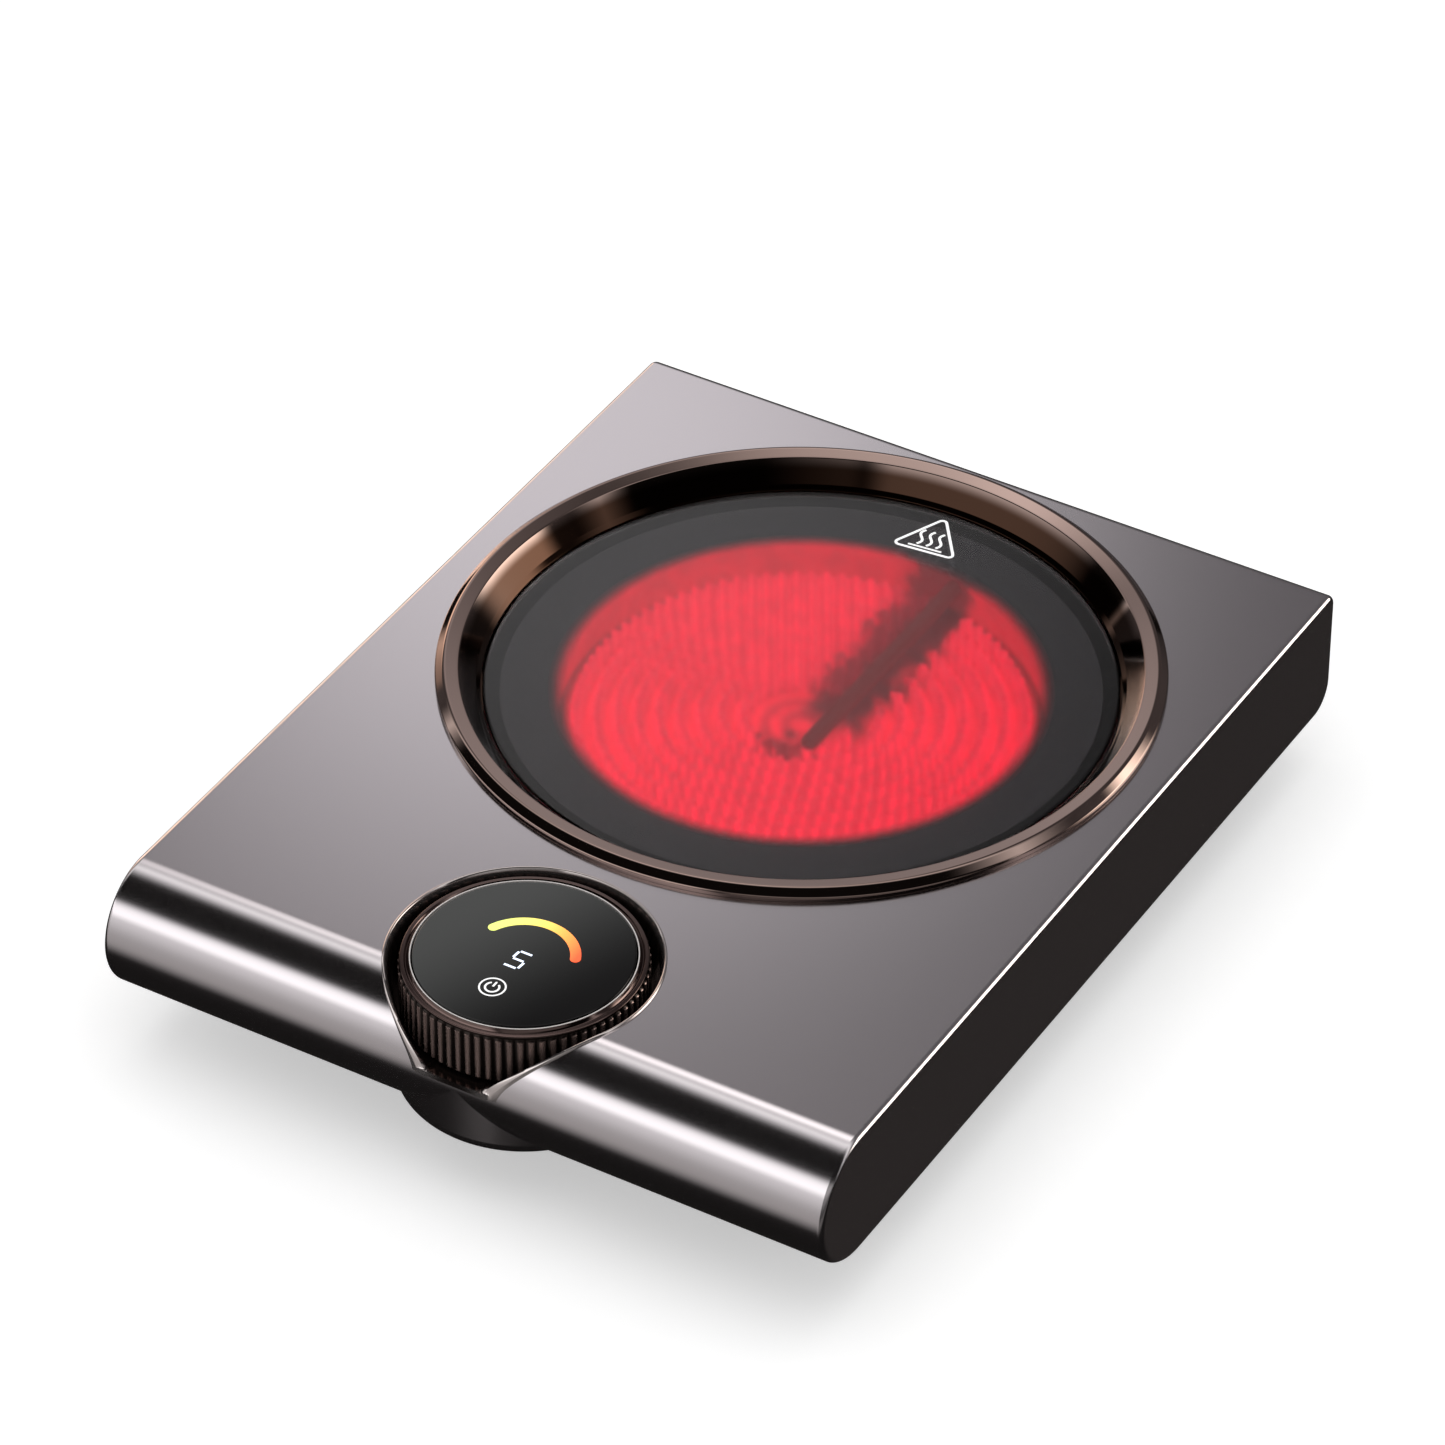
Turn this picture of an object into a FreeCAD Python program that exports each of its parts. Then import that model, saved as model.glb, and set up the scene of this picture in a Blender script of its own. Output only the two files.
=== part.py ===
import FreeCAD, Part

import math
import operator
import os
from types import SimpleNamespace

import Sketcher

# A table-top infrared hot plate: a flat metal housing with a half-round nose, a round glass
# cooking zone in a raised trim ring, and a ribbed knob that turns round a fixed display.
# Millimetres. +Z is up, the user stands at -Y, and the origin lies on the table under the
# middle of the housing.

SIZES = (
    # housing
    ("body_width", 200.0, "housing, side to side"),
    ("body_depth", 257.0, "housing, nose to back"),
    ("body_height", 35.0, "housing, underside to panel"),
    ("wall", 2.0, "thickness of the housing and the base tray"),
    ("edge_radius", 1.6, "rounding where the sides meet the panel"),
    ("heel_radius", 8.0, "rounding of the lower back edge"),
    ("brow_radius", 3.0, "rounding of the upper back edge"),
    ("belly_radius", 31.8, "round belly under the knob"),
    ("belly_edge", 4.0, "rounding of the belly's lower edge"),
    # base
    ("foot_height", 4.0, "rubber feet"),
    ("foot_radius", 9.0, "rubber feet"),
    ("foot_inset", 13.0, "foot centres from the tray's sides"),
    ("tray_drop", 14.0, "tray underside below the housing"),
    ("tray_side_gap", 16.0, "tray side in from the housing's side"),
    ("tray_front_gap", 34.0, "tray front back from the nose"),
    ("tray_back_gap", 22.5, "tray back in from the housing's back"),
    ("tray_corner", 8.0, "upright corners of the tray"),
    ("flange_width", 6.0, "flange round the tray"),
    ("tray_margin", 2.5, "fan and power board from the tray's walls"),
    # cooking zone
    ("ring_width", 11.3, "trim ring, across its section"),
    ("ring_back_gap", 4.4, "trim ring in from the housing's back"),
    ("ring_height", 3.0, "trim ring above the panel"),
    ("ring_land", 6.0, "width of the trim ring's raised land"),
    ("ring_neck_step", 5.2, "neck of the trim ring in from its outside"),
    ("glass_radius", 79.3, "glass plate"),
    ("glass_thickness", 4.0, "glass plate"),
    ("glass_recess", 4.0, "glass plate below the panel"),
    ("glass_gap", 0.4, "clearance round the glass"),
    ("gasket_thickness", 0.6, "gasket under the glass"),
    ("ledge_width", 5.7, "ledge under the glass"),
    ("ledge_thickness", 1.6, "ledge under the glass"),
    ("sheet", 1.0, "sheet of the dish and the springs"),
    ("dish_gap", 4.0, "dish inside the ledge"),
    ("dish_depth", 23.0, "dish below the glass"),
    ("insulation_thickness", 10.0, "insulation under the ribbon"),
    ("rim_width", 8.0, "insulation rim"),
    ("ribbon_height", 4.5, "heating ribbon on edge"),
    ("ribbon_thickness", 1.2, "heating ribbon across"),
    ("ribbon_margin", 0.2, "ribbon's last pitch from the rim"),
    ("ribbon_first", 14.0, "smallest turn of the ribbon"),
    ("ribbon_gap", 8.0, "gap in each turn"),
    ("limiter_radius", 2.2, "over-heat limiter's rod"),
    ("limiter_side", 10.0, "limiter's rod right of the middle"),
    ("limiter_reach", 15.0, "limiter's rod past the middle"),
    # knob
    ("well_gap", 3.8, "room between the knob and its well"),
    ("well_depth", 14.5, "well floor below the panel"),
    ("well_floor", 1.5, "thickness of the well's floor"),
    ("well_wall", 1.2, "thickness of the well's collar"),
    ("well_proud", 0.6, "collar above the panel and past the nose"),
    ("leg_radius", 3.0, "legs under the well"),
    ("leg_height", 12.5, "legs under the well"),
    ("leg_circle", 25.5, "legs from the knob's axis"),
    ("knob_radius", 30.0, "knob over its ribs"),
    ("rib_depth", 0.6, "ribs of the knob"),
    ("rib_count", 72.0, "ribs of the knob"),
    ("knob_wall", 2.0, "knob's wall under the ribs"),
    ("knob_lift", 0.5, "knob above the well's floor"),
    ("web_thickness", 1.8, "web of the knob"),
    ("web_lift", 1.0, "knob's web above the well's floor"),
    ("hub_radius", 12.0, "knob's hub"),
    ("hub_wall", 2.0, "knob's hub"),
    ("bush_wall", 2.0, "bush round the hub"),
    ("running_gap", 0.05, "radial clearance of turning fits"),
    ("bezel_height", 1.1, "bezel above the knob's wall"),
    ("bezel_width", 2.4, "bezel on the knob's wall"),
    ("lens_gap", 0.4, "lens inside the bezel"),
    ("lens_thickness", 2.0, "display lens"),
    ("lens_proud", 1.5, "lens above the panel"),
    ("key_inset", 10.1, "touch key in from the lens's edge"),
    ("key_radius", 3.0, "electrode under the touch key"),
    ("guide_inset", 12.7, "light guide in from the lens's edge"),
    ("guide_width", 2.6, "light guide, across"),
    ("gear_height", 4.0, "knob gear and pinion"),
    ("gear_module", 0.8, "knob gear and pinion"),
    ("gear_teeth", 40.0, "knob gear"),
    ("pinion_teeth", 15.0, "encoder pinion"),
    ("post_radius", 9.0, "post that carries the display"),
    ("post_wall", 2.0, "post that carries the display"),
    ("board_thickness", 1.2, "display and encoder boards"),
    ("encoder_width", 12.0, "encoder's case"),
    ("encoder_shaft", 3.0, "radius of the encoder's shaft"),
    ("encoder_shaft_length", 4.5, "encoder's shaft below the pinion"),
    # power side
    ("power_board_thickness", 1.6, "power board"),
    ("power_board_width", 48.0, "power board"),
    ("power_board_length", 52.0, "power board"),
    ("standoff_height", 6.0, "power board above the tray"),
    ("fan_size", 50.0, "cooling fan, across"),
    ("fan_height", 15.0, "cooling fan, along its axis"),
    ("fan_setback", 12.0, "cooling fan behind the tray's front wall"),
    ("fan_bore", 23.5, "radius of the fan's duct"),
    ("fan_hub", 12.0, "radius of the fan's hub"),
    ("fan_blade_gap", 0.9, "blade tips from the duct"),
    ("fan_pin", 1.5, "radius of the fan's spindle"),
    ("fan_hole_pitch", 40.0, "fan screws, across"),
    ("inlet_x", 62.0, "power inlet right of the middle"),
    ("inlet_width", 30.0, "power inlet's face"),
    ("inlet_height", 22.0, "power inlet's face"),
    ("inlet_depth", 20.5, "power inlet, face to rear"),
    ("socket_width", 24.0, "socket in the inlet"),
    ("socket_height", 16.5, "socket in the inlet"),
    ("socket_depth", 16.5, "socket in the inlet"),
    ("pin_length", 11.0, "inlet pins inside the socket"),
    ("screw_radius", 1.45, "small screws"),
    ("screw_gap", 0.05, "clearance round small screws"),
    ("screw_head", 2.6, "heads of the small screws"),
    ("screw_head_height", 1.8, "heads of the small screws"),
    ("boss_height", 8.0, "screw bosses in the housing"),
    # air slots
    ("vent_start", 128.0, "first back vent left of the inlet"),
    ("vent_pitch", 6.0, "between back vents"),
    ("vent_width", 2.6, "back vents"),
    ("vent_height", 14.0, "back vents"),
    ("intake_pitch", 5.0, "between intake slots"),
    ("intake_width", 2.8, "intake slots"),
    ("intake_reach", 21.0, "middle intake slot, each way"),
    ("heat_slot_pitch", 8.0, "between slots under the heater"),
    ("heat_slot_width", 3.2, "slots under the heater"),
    ("heat_slot_length", 60.0, "slots under the heater"),
    # heater springs
    ("spring_place", 34.0, "each leaf spring from the zone's middle"),
    ("spring_width", 12.0, "leaf spring"),
    ("spring_reach", 62.0, "leaf spring's foot, out from the middle"),
    ("spring_foot", 13.0, "leaf spring's foot, along"),
    ("spring_crown", 12.0, "leaf spring's flat top, each way"),
)

RIGHT = FreeCAD.Vector(1, 0, 0)
UP = FreeCAD.Vector(0, 0, 1)
RING_SCREW_ANGLES = (30, 90, 150, 210, 270, 330)
LEG_ANGLES = (45, 135, 225, 315)
RIBBON_TURNS = 9
VENTS = 11
FAN_BLADES = 7
FAN_STRUTS = 3
# block-shaped parts on the power board: from its left edge, from its front edge, then
# width, length and height
RELAY = (22, 27, 19, 15.5, 15.5)
FILTER_CAPACITOR = (24, 15, 18, 9, 15)
TERMINAL = (30, 1, 10, 8, 10)
PRESSURE_ANGLE = math.radians(20)
OPERATIONS = {"+": operator.add, "-": operator.sub, "*": operator.mul, "/": operator.truediv}

DOC = FreeCAD.newDocument("hot_plate")


# ---------------------------------------------------------------- sizes

class Size:
    """A number together with the sheet expression that gives it."""

    def __init__(self, value, text):
        self.value = value
        self.text = text

    def __add__(self, other):
        return combine(self, "+", other)

    def __radd__(self, other):
        return combine(other, "+", self)

    def __sub__(self, other):
        return combine(self, "-", other)

    def __rsub__(self, other):
        return combine(other, "-", self)

    def __mul__(self, other):
        return combine(self, "*", other)

    def __rmul__(self, other):
        return combine(other, "*", self)

    def __truediv__(self, other):
        return combine(self, "/", other)

    def __neg__(self):
        return combine(0, "-", self)


def as_size(number):
    """Return a plain number as a Size, and a Size as it is."""
    if isinstance(number, Size):
        return number
    return Size(float(number), f"({float(number)})")


def combine(first, sign, second):
    """Join two sizes with an arithmetic sign."""
    first = as_size(first)
    second = as_size(second)
    value = OPERATIONS[sign](first.value, second.value)
    return Size(value, f"({first.text} {sign} {second.text})")


def load_sizes():
    """Fill the spreadsheet with the driving sizes and return them by name."""
    sheet = DOC.addObject("Spreadsheet::Sheet", "Sizes")
    named = {}
    for row, (alias, value, note) in enumerate(SIZES, 1):
        sheet.set(f"A{row}", note)
        sheet.set(f"B{row}", str(value))
        sheet.setAlias(f"B{row}", alias)
        named[alias] = Size(value, f"Sizes.{alias}")
    DOC.recompute()
    return SimpleNamespace(**named)


def add_levels(s):
    """Work out the places that several pieces share."""
    s.front = -s.body_depth / 2
    s.back = s.body_depth / 2
    s.side = s.body_width / 2
    # heights, from the table up
    s.tray_floor = s.foot_height + s.wall
    s.bottom = s.foot_height + s.tray_drop
    s.floor = s.bottom + s.wall
    s.panel = s.bottom + s.body_height
    s.ceiling = s.panel - s.wall
    s.glass_top = s.panel - s.glass_recess
    s.glass_under = s.glass_top - s.glass_thickness
    s.ledge_top = s.glass_under - s.gasket_thickness
    s.ledge_under = s.ledge_top - s.ledge_thickness
    s.ring_top = s.panel + s.ring_height
    # cooking zone
    s.ring_bore = s.glass_radius + s.glass_gap
    s.ring_radius = s.ring_bore + s.ring_width
    s.ring_y = s.back - s.ring_back_gap - s.ring_radius
    s.neck_radius = s.ring_radius - s.ring_neck_step
    s.ledge_radius = s.ring_bore - s.ledge_width
    s.dish_radius = s.ledge_radius - s.dish_gap
    s.dish_under = s.glass_under - s.dish_depth
    s.insulation_top = s.dish_under + s.sheet + s.insulation_thickness
    s.rim_inner = s.dish_radius - s.sheet - s.rim_width
    s.ribbon_pitch = (s.rim_inner - s.ribbon_first - s.ribbon_margin) / RIBBON_TURNS
    s.ribbon_top = s.insulation_top + s.ribbon_height
    s.limiter_z = s.ledge_under - s.limiter_radius - 0.2
    s.ring_screw_circle = (s.ring_radius + s.neck_radius) / 2
    # tray
    s.tray_side = s.side - s.tray_side_gap
    s.tray_front = s.front + s.tray_front_gap
    s.tray_back = s.back - s.tray_back_gap
    s.flange_side = s.tray_side + s.flange_width
    s.tray_screw_x = s.tray_side + s.flange_width / 2
    # knob
    s.knob_y = s.front + s.belly_radius
    s.well_radius = s.knob_radius + s.well_gap
    s.well_top = s.panel - s.well_depth
    s.well_under = s.well_top - s.well_floor
    s.bracket_top = s.well_under - s.leg_height
    s.bush_radius = s.hub_radius + s.running_gap + s.bush_wall
    s.web_under = s.well_top + s.web_lift
    s.lens_top = s.panel + s.lens_proud
    s.lens_under = s.lens_top - s.lens_thickness
    s.bezel_under = s.lens_top - 0.2 - s.bezel_height
    s.bezel_inner = s.knob_radius - s.rib_depth - s.bezel_width
    s.lens_radius = s.bezel_inner - s.lens_gap
    s.gear_top = s.well_under - s.well_floor
    s.gear_under = s.gear_top - s.gear_height
    s.pinion_y = s.knob_y + s.gear_module * (s.gear_teeth + s.pinion_teeth) / 2
    s.carrier_radius = s.lens_radius - 1.2
    s.board_top = s.lens_under - 2.3
    s.key_reach = s.lens_radius - s.key_inset
    s.guide_radius = s.lens_radius - s.guide_inset
    # fan and power board
    s.fan_x = s.tray_side - s.wall - s.tray_margin - s.fan_size / 2
    s.fan_y = s.tray_front + s.wall + s.fan_setback + s.fan_size / 2
    s.board_z = s.tray_floor + s.standoff_height
    s.board_left = s.wall + s.tray_margin - s.tray_side
    s.board_front = s.tray_front + s.wall + s.tray_margin
    s.inlet_z = s.bottom + s.body_height / 2 + 1.5
    return s


# ---------------------------------------------------------------- drawing

def bind(thing, path, size):
    """Tie one of an object's properties to a size."""
    thing.setExpression(path, as_size(size).text)


def place(thing, x=0, y=0, z=0):
    """Tie where an object stands to sizes."""
    bind(thing, "Placement.Base.x", x)
    bind(thing, "Placement.Base.y", y)
    bind(thing, "Placement.Base.z", z)


def new_body(name, x=0, y=0):
    """Start a PartDesign body whose own Z axis stands at (x, y)."""
    body = DOC.addObject("PartDesign::Body", name)
    body.AllowCompound = True
    place(body, x, y)
    return body


def new_sketch(body, name, plane, offset=0):
    """Start a sketch on one of the body's origin planes, moved along that plane's normal."""
    sketch = body.newObject("Sketcher::SketchObject", name)
    for feature in body.Origin.OriginFeatures:
        if feature.Role == plane:
            sketch.AttachmentSupport = [(feature, "")]
    sketch.MapMode = "FlatFace"
    bind(sketch, "AttachmentOffset.Base.z", offset)
    return sketch


def constrain(sketch, kind, references, size=None):
    """Add a constraint, and tie its value to a size where it has one."""
    if size is None:
        sketch.addConstraint(Sketcher.Constraint(kind, *references))
        return
    size = as_size(size)
    index = sketch.addConstraint(Sketcher.Constraint(kind, *references, size.value))
    sketch.setExpression(f"Constraints[{index}]", size.text)


def pin(sketch, geometry, end, x, y):
    """Hold one point of a sketch at sizes from the sketch's origin."""
    for kind, axis, size in (("DistanceX", -2, x), ("DistanceY", -1, y)):
        if isinstance(size, Size):
            constrain(sketch, kind, (-1, 1, geometry, end), size)
        elif size == 0:
            constrain(sketch, "PointOnObject", (geometry, end, axis))
        else:
            constrain(sketch, kind, (-1, 1, geometry, end), size)


def spot(x, y):
    """Return the vector of a pair of sizes."""
    return FreeCAD.Vector(as_size(x).value, as_size(y).value, 0)


def corner_arc(before, at, after, radius):
    """Return the arc that rounds a corner, its two tangent points, and whether it turns left."""
    to_before = (before - at).normalize()
    to_after = (after - at).normalize()
    half = to_before.getAngle(to_after) / 2
    reach = radius / math.tan(half)
    centre = at + (to_before + to_after).normalize() * (radius / math.sin(half))
    entry = at + to_before * reach
    leave = at + to_after * reach
    left = (-to_before).cross(to_after).z > 0
    first, last = (entry, leave) if left else (leave, entry)
    start = math.atan2(first.y - centre.y, first.x - centre.x)
    end = math.atan2(last.y - centre.y, last.x - centre.x)
    if end < start:
        end += 2 * math.pi
    circle = Part.Circle(centre, UP, radius)
    return Part.ArcOfCircle(circle, start, end), entry, leave, left


def outline(sketch, corners):
    """Draw a closed outline through corners (x, y) or (x, y, radius), given in sizes."""
    count = len(corners)
    spots = [spot(corner[0], corner[1]) for corner in corners]
    arcs = {}
    for index, corner in enumerate(corners):
        if len(corner) == 3:
            around = (spots[index - 1], spots[index], spots[(index + 1) % count])
            arcs[index] = corner_arc(*around, as_size(corner[2]).value)
    lines = []
    for index in range(count):
        after = (index + 1) % count
        start = arcs[index][2] if index in arcs else spots[index]
        end = arcs[after][1] if after in arcs else spots[after]
        lines.append(sketch.addGeometry(Part.LineSegment(start, end), False))
    for index, corner in enumerate(corners):
        before = lines[index - 1]
        after = lines[index]
        if index not in arcs:
            constrain(sketch, "Coincident", (before, 2, after, 1))
            pin(sketch, after, 1, corner[0], corner[1])
            continue
        arc, _, _, left = arcs[index]
        rounding = sketch.addGeometry(arc, False)
        point = sketch.addGeometry(Part.Point(spots[index]), True)
        entry_end, leave_end = (1, 2) if left else (2, 1)
        constrain(sketch, "Tangent", (before, 2, rounding, entry_end))
        constrain(sketch, "Tangent", (rounding, leave_end, after, 1))
        constrain(sketch, "PointOnObject", (point, 1, before))
        constrain(sketch, "PointOnObject", (point, 1, after))
        constrain(sketch, "Radius", (rounding,), corner[2])
        pin(sketch, point, 1, corner[0], corner[1])


def rectangle(sketch, x_span, y_span):
    """Draw a rectangle between pairs of sizes."""
    outline(sketch, [(x_span[0], y_span[0]), (x_span[1], y_span[0]),
                     (x_span[1], y_span[1]), (x_span[0], y_span[1])])


def circle(sketch, x, y, radius):
    """Draw a circle about a point given in sizes."""
    shape = Part.Circle(spot(x, y), UP, as_size(radius).value)
    index = sketch.addGeometry(shape, False)
    pin(sketch, index, 3, x, y)
    constrain(sketch, "Radius", (index,), radius)


def feature(body, kind, name, sketch):
    """Add a PartDesign feature that uses a sketch."""
    added = body.newObject(f"PartDesign::{kind}", name)
    added.Profile = sketch
    return added


def pad(body, name, sketch, length, both_ways=False):
    """Raise a sketch along its normal, or the same length shared both ways."""
    added = feature(body, "Pad", name, sketch)
    bind(added, "Length", length)
    added.Midplane = both_ways
    return added


def pocket(body, name, sketch, depth, along_normal=True, both_ways=False):
    """Cut a sketch into a body along the sketch's normal or against it."""
    added = feature(body, "Pocket", name, sketch)
    bind(added, "Length", depth)
    added.Reversed = along_normal
    added.Midplane = both_ways
    return added


def turned(body, kind, name, sketch):
    """Turn a sketch once round its own upright axis, to add or to cut."""
    added = feature(body, kind, name, sketch)
    added.ReferenceAxis = (sketch, ["V_Axis"])
    added.Angle = 360
    return added


def fillet(body, name, radius, wanted):
    """Round the edges of the body so far for which wanted(edge) is true."""
    DOC.recompute()
    base = body.Tip
    edges = [f"Edge{index}" for index, edge in enumerate(base.Shape.Edges, 1) if wanted(edge)]
    added = body.newObject("PartDesign::Fillet", name)
    added.Base = (base, edges)
    bind(added, "Radius", radius)
    return added


def upright(edge):
    """Tell whether an edge is a straight upright line."""
    if len(edge.Vertexes) != 2 or edge.Curve.TypeId != "Part::GeomLine":
        return False
    return abs(edge.tangentAt(edge.FirstParameter).z) > 0.999


# ---------------------------------------------------------------- simple solids

def revolved(name, corners, x=0, y=0):
    """Make a round piece from corners (radius, height), standing on the axis at (x, y)."""
    body = new_body(name, x, y)
    sketch = new_sketch(body, f"{name}_section", "XZ_Plane")
    outline(sketch, corners)
    turned(body, "Revolution", f"{name}_turn", sketch)
    return body


def box(name, x_span, y_span, z_span):
    """Make a box between pairs of sizes."""
    solid = DOC.addObject("Part::Box", name)
    for path, span in (("Length", x_span), ("Width", y_span), ("Height", z_span)):
        bind(solid, path, as_size(span[1]) - span[0])
    place(solid, x_span[0], y_span[0], z_span[0])
    return solid


def cylinder(name, radius, x, y, z_span):
    """Make an upright cylinder between two heights."""
    solid = DOC.addObject("Part::Cylinder", name)
    bind(solid, "Radius", radius)
    bind(solid, "Height", as_size(z_span[1]) - z_span[0])
    place(solid, x, y, z_span[0])
    return solid


def rod(name, radius, x, y_span, z):
    """Make a cylinder that lies along Y between two sizes."""
    solid = DOC.addObject("Part::Cylinder", name)
    solid.Placement = FreeCAD.Placement(FreeCAD.Vector(), FreeCAD.Rotation(RIGHT, -90))
    bind(solid, "Radius", radius)
    bind(solid, "Height", as_size(y_span[1]) - y_span[0])
    place(solid, x, y_span[0], z)
    return solid


def joined(name, pieces):
    """Fuse pieces into one solid."""
    result = DOC.addObject("Part::MultiFuse", name)
    result.Shapes = pieces
    result.Refine = True
    return result


def group(name, pieces):
    """Keep pieces as separate solids of one node."""
    result = DOC.addObject("Part::Compound", name)
    result.Links = pieces
    return result


def less(name, base, tools):
    """Cut tools from a base."""
    result = DOC.addObject("Part::Cut", name)
    result.Base = base
    result.Tool = tools[0] if len(tools) == 1 else group(f"{name}_tools", tools)
    return result


def round_places(radius, angles, y=0):
    """Return the places at a radius and at angles in degrees, about the axis at (0, y)."""
    places = []
    for angle in angles:
        turn = math.radians(angle)
        places.append((radius * math.cos(turn), y + radius * math.sin(turn)))
    return places


def screws(name, places, head_z, tip_z, s, head_up=True):
    """Make small screws at places, with heads that rise from or hang below head_z."""
    pieces = []
    for index, (x, y) in enumerate(places, 1):
        shank = cylinder(f"{name}_{index}_shank", s.screw_radius, x, y,
                         (tip_z, head_z) if head_up else (head_z, tip_z))
        far_side = head_z + s.screw_head_height if head_up else head_z - s.screw_head_height
        head = cylinder(f"{name}_{index}_head", s.screw_head, x, y,
                        (head_z, far_side) if head_up else (far_side, head_z))
        pieces.append(joined(f"{name}_{index}", [shank, head]))
    return group(name, pieces)


# ---------------------------------------------------------------- housing

def side_outline(sketch, front, back, bottom, top, heel, brow):
    """Draw the housing's side view: half-round nose, flat panel, rounded back edges."""
    reach = (top - bottom) / 2
    nose = front + reach
    middle = bottom + reach
    corners = [(nose, bottom), (back, bottom, heel), (back, top, brow), (nose, top)]
    spots = [spot(corner[0], corner[1]) for corner in corners]
    heel_arc, heel_in, heel_out, _ = corner_arc(spots[0], spots[1], spots[2], heel.value)
    brow_arc, brow_in, brow_out, _ = corner_arc(spots[1], spots[2], spots[3], brow.value)
    nose_circle = Part.Circle(spot(nose, middle), UP, reach.value)
    nose_arc = Part.ArcOfCircle(nose_circle, math.pi / 2, 3 * math.pi / 2)
    chain = [Part.LineSegment(spots[0], heel_in), heel_arc, Part.LineSegment(heel_out, brow_in),
             brow_arc, Part.LineSegment(brow_out, spots[3]), nose_arc]
    parts = [sketch.addGeometry(item, False) for item in chain]
    under, heel_round, rear, brow_round, panel, nose_round = parts
    for first, second in zip(parts, parts[1:] + parts[:1]):
        constrain(sketch, "Tangent", (first, 2, second, 1))
    constrain(sketch, "Radius", (heel_round,), heel)
    constrain(sketch, "Radius", (brow_round,), brow)
    constrain(sketch, "Radius", (nose_round,), reach)
    pin(sketch, nose_round, 3, nose, middle)
    constrain(sketch, "DistanceX", (-1, 1, heel_round, 3), back - heel)
    constrain(sketch, "DistanceX", (-1, 1, brow_round, 3), back - brow)
    constrain(sketch, "DistanceY", (-1, 1, heel_round, 3), bottom + heel)
    constrain(sketch, "DistanceY", (-1, 1, brow_round, 3), top - brow)


def belly_section(sketch, radius, low, high, rounding):
    """Draw half of the belly's upright section."""
    outline(sketch, [(0, low), (radius, low, rounding), (radius, high), (0, high)])


def tray_screw_places(s):
    """Return where the tray's flange is screwed to the housing."""
    places = []
    for y in (s.tray_front + 24, (s.tray_front + s.tray_back) / 2, s.tray_back - 16):
        places.append((-s.tray_screw_x, y))
        places.append((s.tray_screw_x, y))
    return places


def cut_housing_holes(body, s):
    """Cut the housing's openings for the tray, the well, the trim ring and the screws."""
    under = new_sketch(body, "tray_opening_outline", "XY_Plane", s.bottom)
    rectangle(under, (-s.tray_side, s.tray_side), (s.tray_front, s.tray_back))
    pocket(body, "tray_opening", under, s.wall)
    bosses = new_sketch(body, "tray_boss_outline", "XY_Plane", s.floor)
    for x, y in tray_screw_places(s):
        circle(bosses, x, y, s.screw_head + 0.8)
    pad(body, "tray_bosses", bosses, s.boss_height)
    holes = new_sketch(body, "tray_hole_outline", "XY_Plane", s.bottom)
    for x, y in tray_screw_places(s):
        circle(holes, x, y, s.screw_radius + s.screw_gap)
    pocket(body, "tray_holes", holes, s.boss_height)
    well = new_sketch(body, "well_outline", "XY_Plane", s.well_under)
    circle(well, 0, s.knob_y, s.well_radius)
    pocket(body, "well_cut", well, s.panel - s.well_under + 1)
    zone = new_sketch(body, "zone_outline", "XY_Plane", s.ceiling - 1)
    circle(zone, 0, s.ring_y, s.neck_radius + 0.2)
    for x, y in round_places(s.ring_screw_circle, RING_SCREW_ANGLES, s.ring_y):
        circle(zone, x, y, s.screw_radius + 0.15)
    pocket(body, "zone_cut", zone, s.wall + 2)


def cut_back_wall(body, s):
    """Cut the inlet's window and the warm-air slots in the back wall."""
    sketch = new_sketch(body, "back_outline", "XZ_Plane", s.wall + 1 - s.back)
    half_width = s.inlet_width / 2
    half_height = s.inlet_height / 2
    rectangle(sketch, (s.inlet_x - half_width, s.inlet_x + half_width),
              (s.inlet_z - half_height, s.inlet_z + half_height))
    half_vent = s.vent_height / 2
    for index in range(VENTS):
        left = s.inlet_x - s.vent_start + s.vent_pitch * index
        rectangle(sketch, (left, left + s.vent_width),
                  (s.inlet_z - half_vent, s.inlet_z + half_vent))
    pocket(body, "back_cut", sketch, s.wall + 2, along_normal=False)


def upper_shell(s):
    """The metal housing: side view carried across, hollowed, with the belly under the knob."""
    body = new_body("upper_shell")
    side = new_sketch(body, "shell_side_view", "YZ_Plane")
    side_outline(side, s.front, s.back, s.bottom, s.panel, s.heel_radius, s.brow_radius)
    pad(body, "shell_block", side, s.body_width, both_ways=True)
    half = s.side.value
    fillet(body, "shell_edges", s.edge_radius,
           lambda edge: abs(abs(edge.CenterOfMass.x) - half) < 0.01)
    belly = new_sketch(body, "belly_section", "XZ_Plane", -s.knob_y)
    belly_section(belly, s.belly_radius, s.bottom, s.bottom + s.body_height / 2, s.belly_edge)
    turned(body, "Revolution", "belly_turn", belly)
    hollow = new_sketch(body, "shell_hollow_view", "YZ_Plane")
    side_outline(hollow, s.front + s.wall, s.back - s.wall, s.floor, s.ceiling,
                 s.heel_radius - s.wall, s.brow_radius - s.wall)
    pocket(body, "shell_hollow", hollow, s.body_width - 2 * s.wall, both_ways=True)
    inside = new_sketch(body, "belly_hollow_section", "XZ_Plane", -s.knob_y)
    belly_section(inside, s.belly_radius - s.wall, s.floor, s.well_under, s.belly_edge - s.wall)
    turned(body, "Groove", "belly_hollow", inside)
    cut_housing_holes(body, s)
    cut_back_wall(body, s)
    return body


# ---------------------------------------------------------------- base

def fan_screw_places(s):
    """Return the four corners of the fan's screws."""
    half = s.fan_hole_pitch / 2
    return [(s.fan_x + side * half, s.fan_y + end * half) for side in (-1, 1) for end in (-1, 1)]


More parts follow.
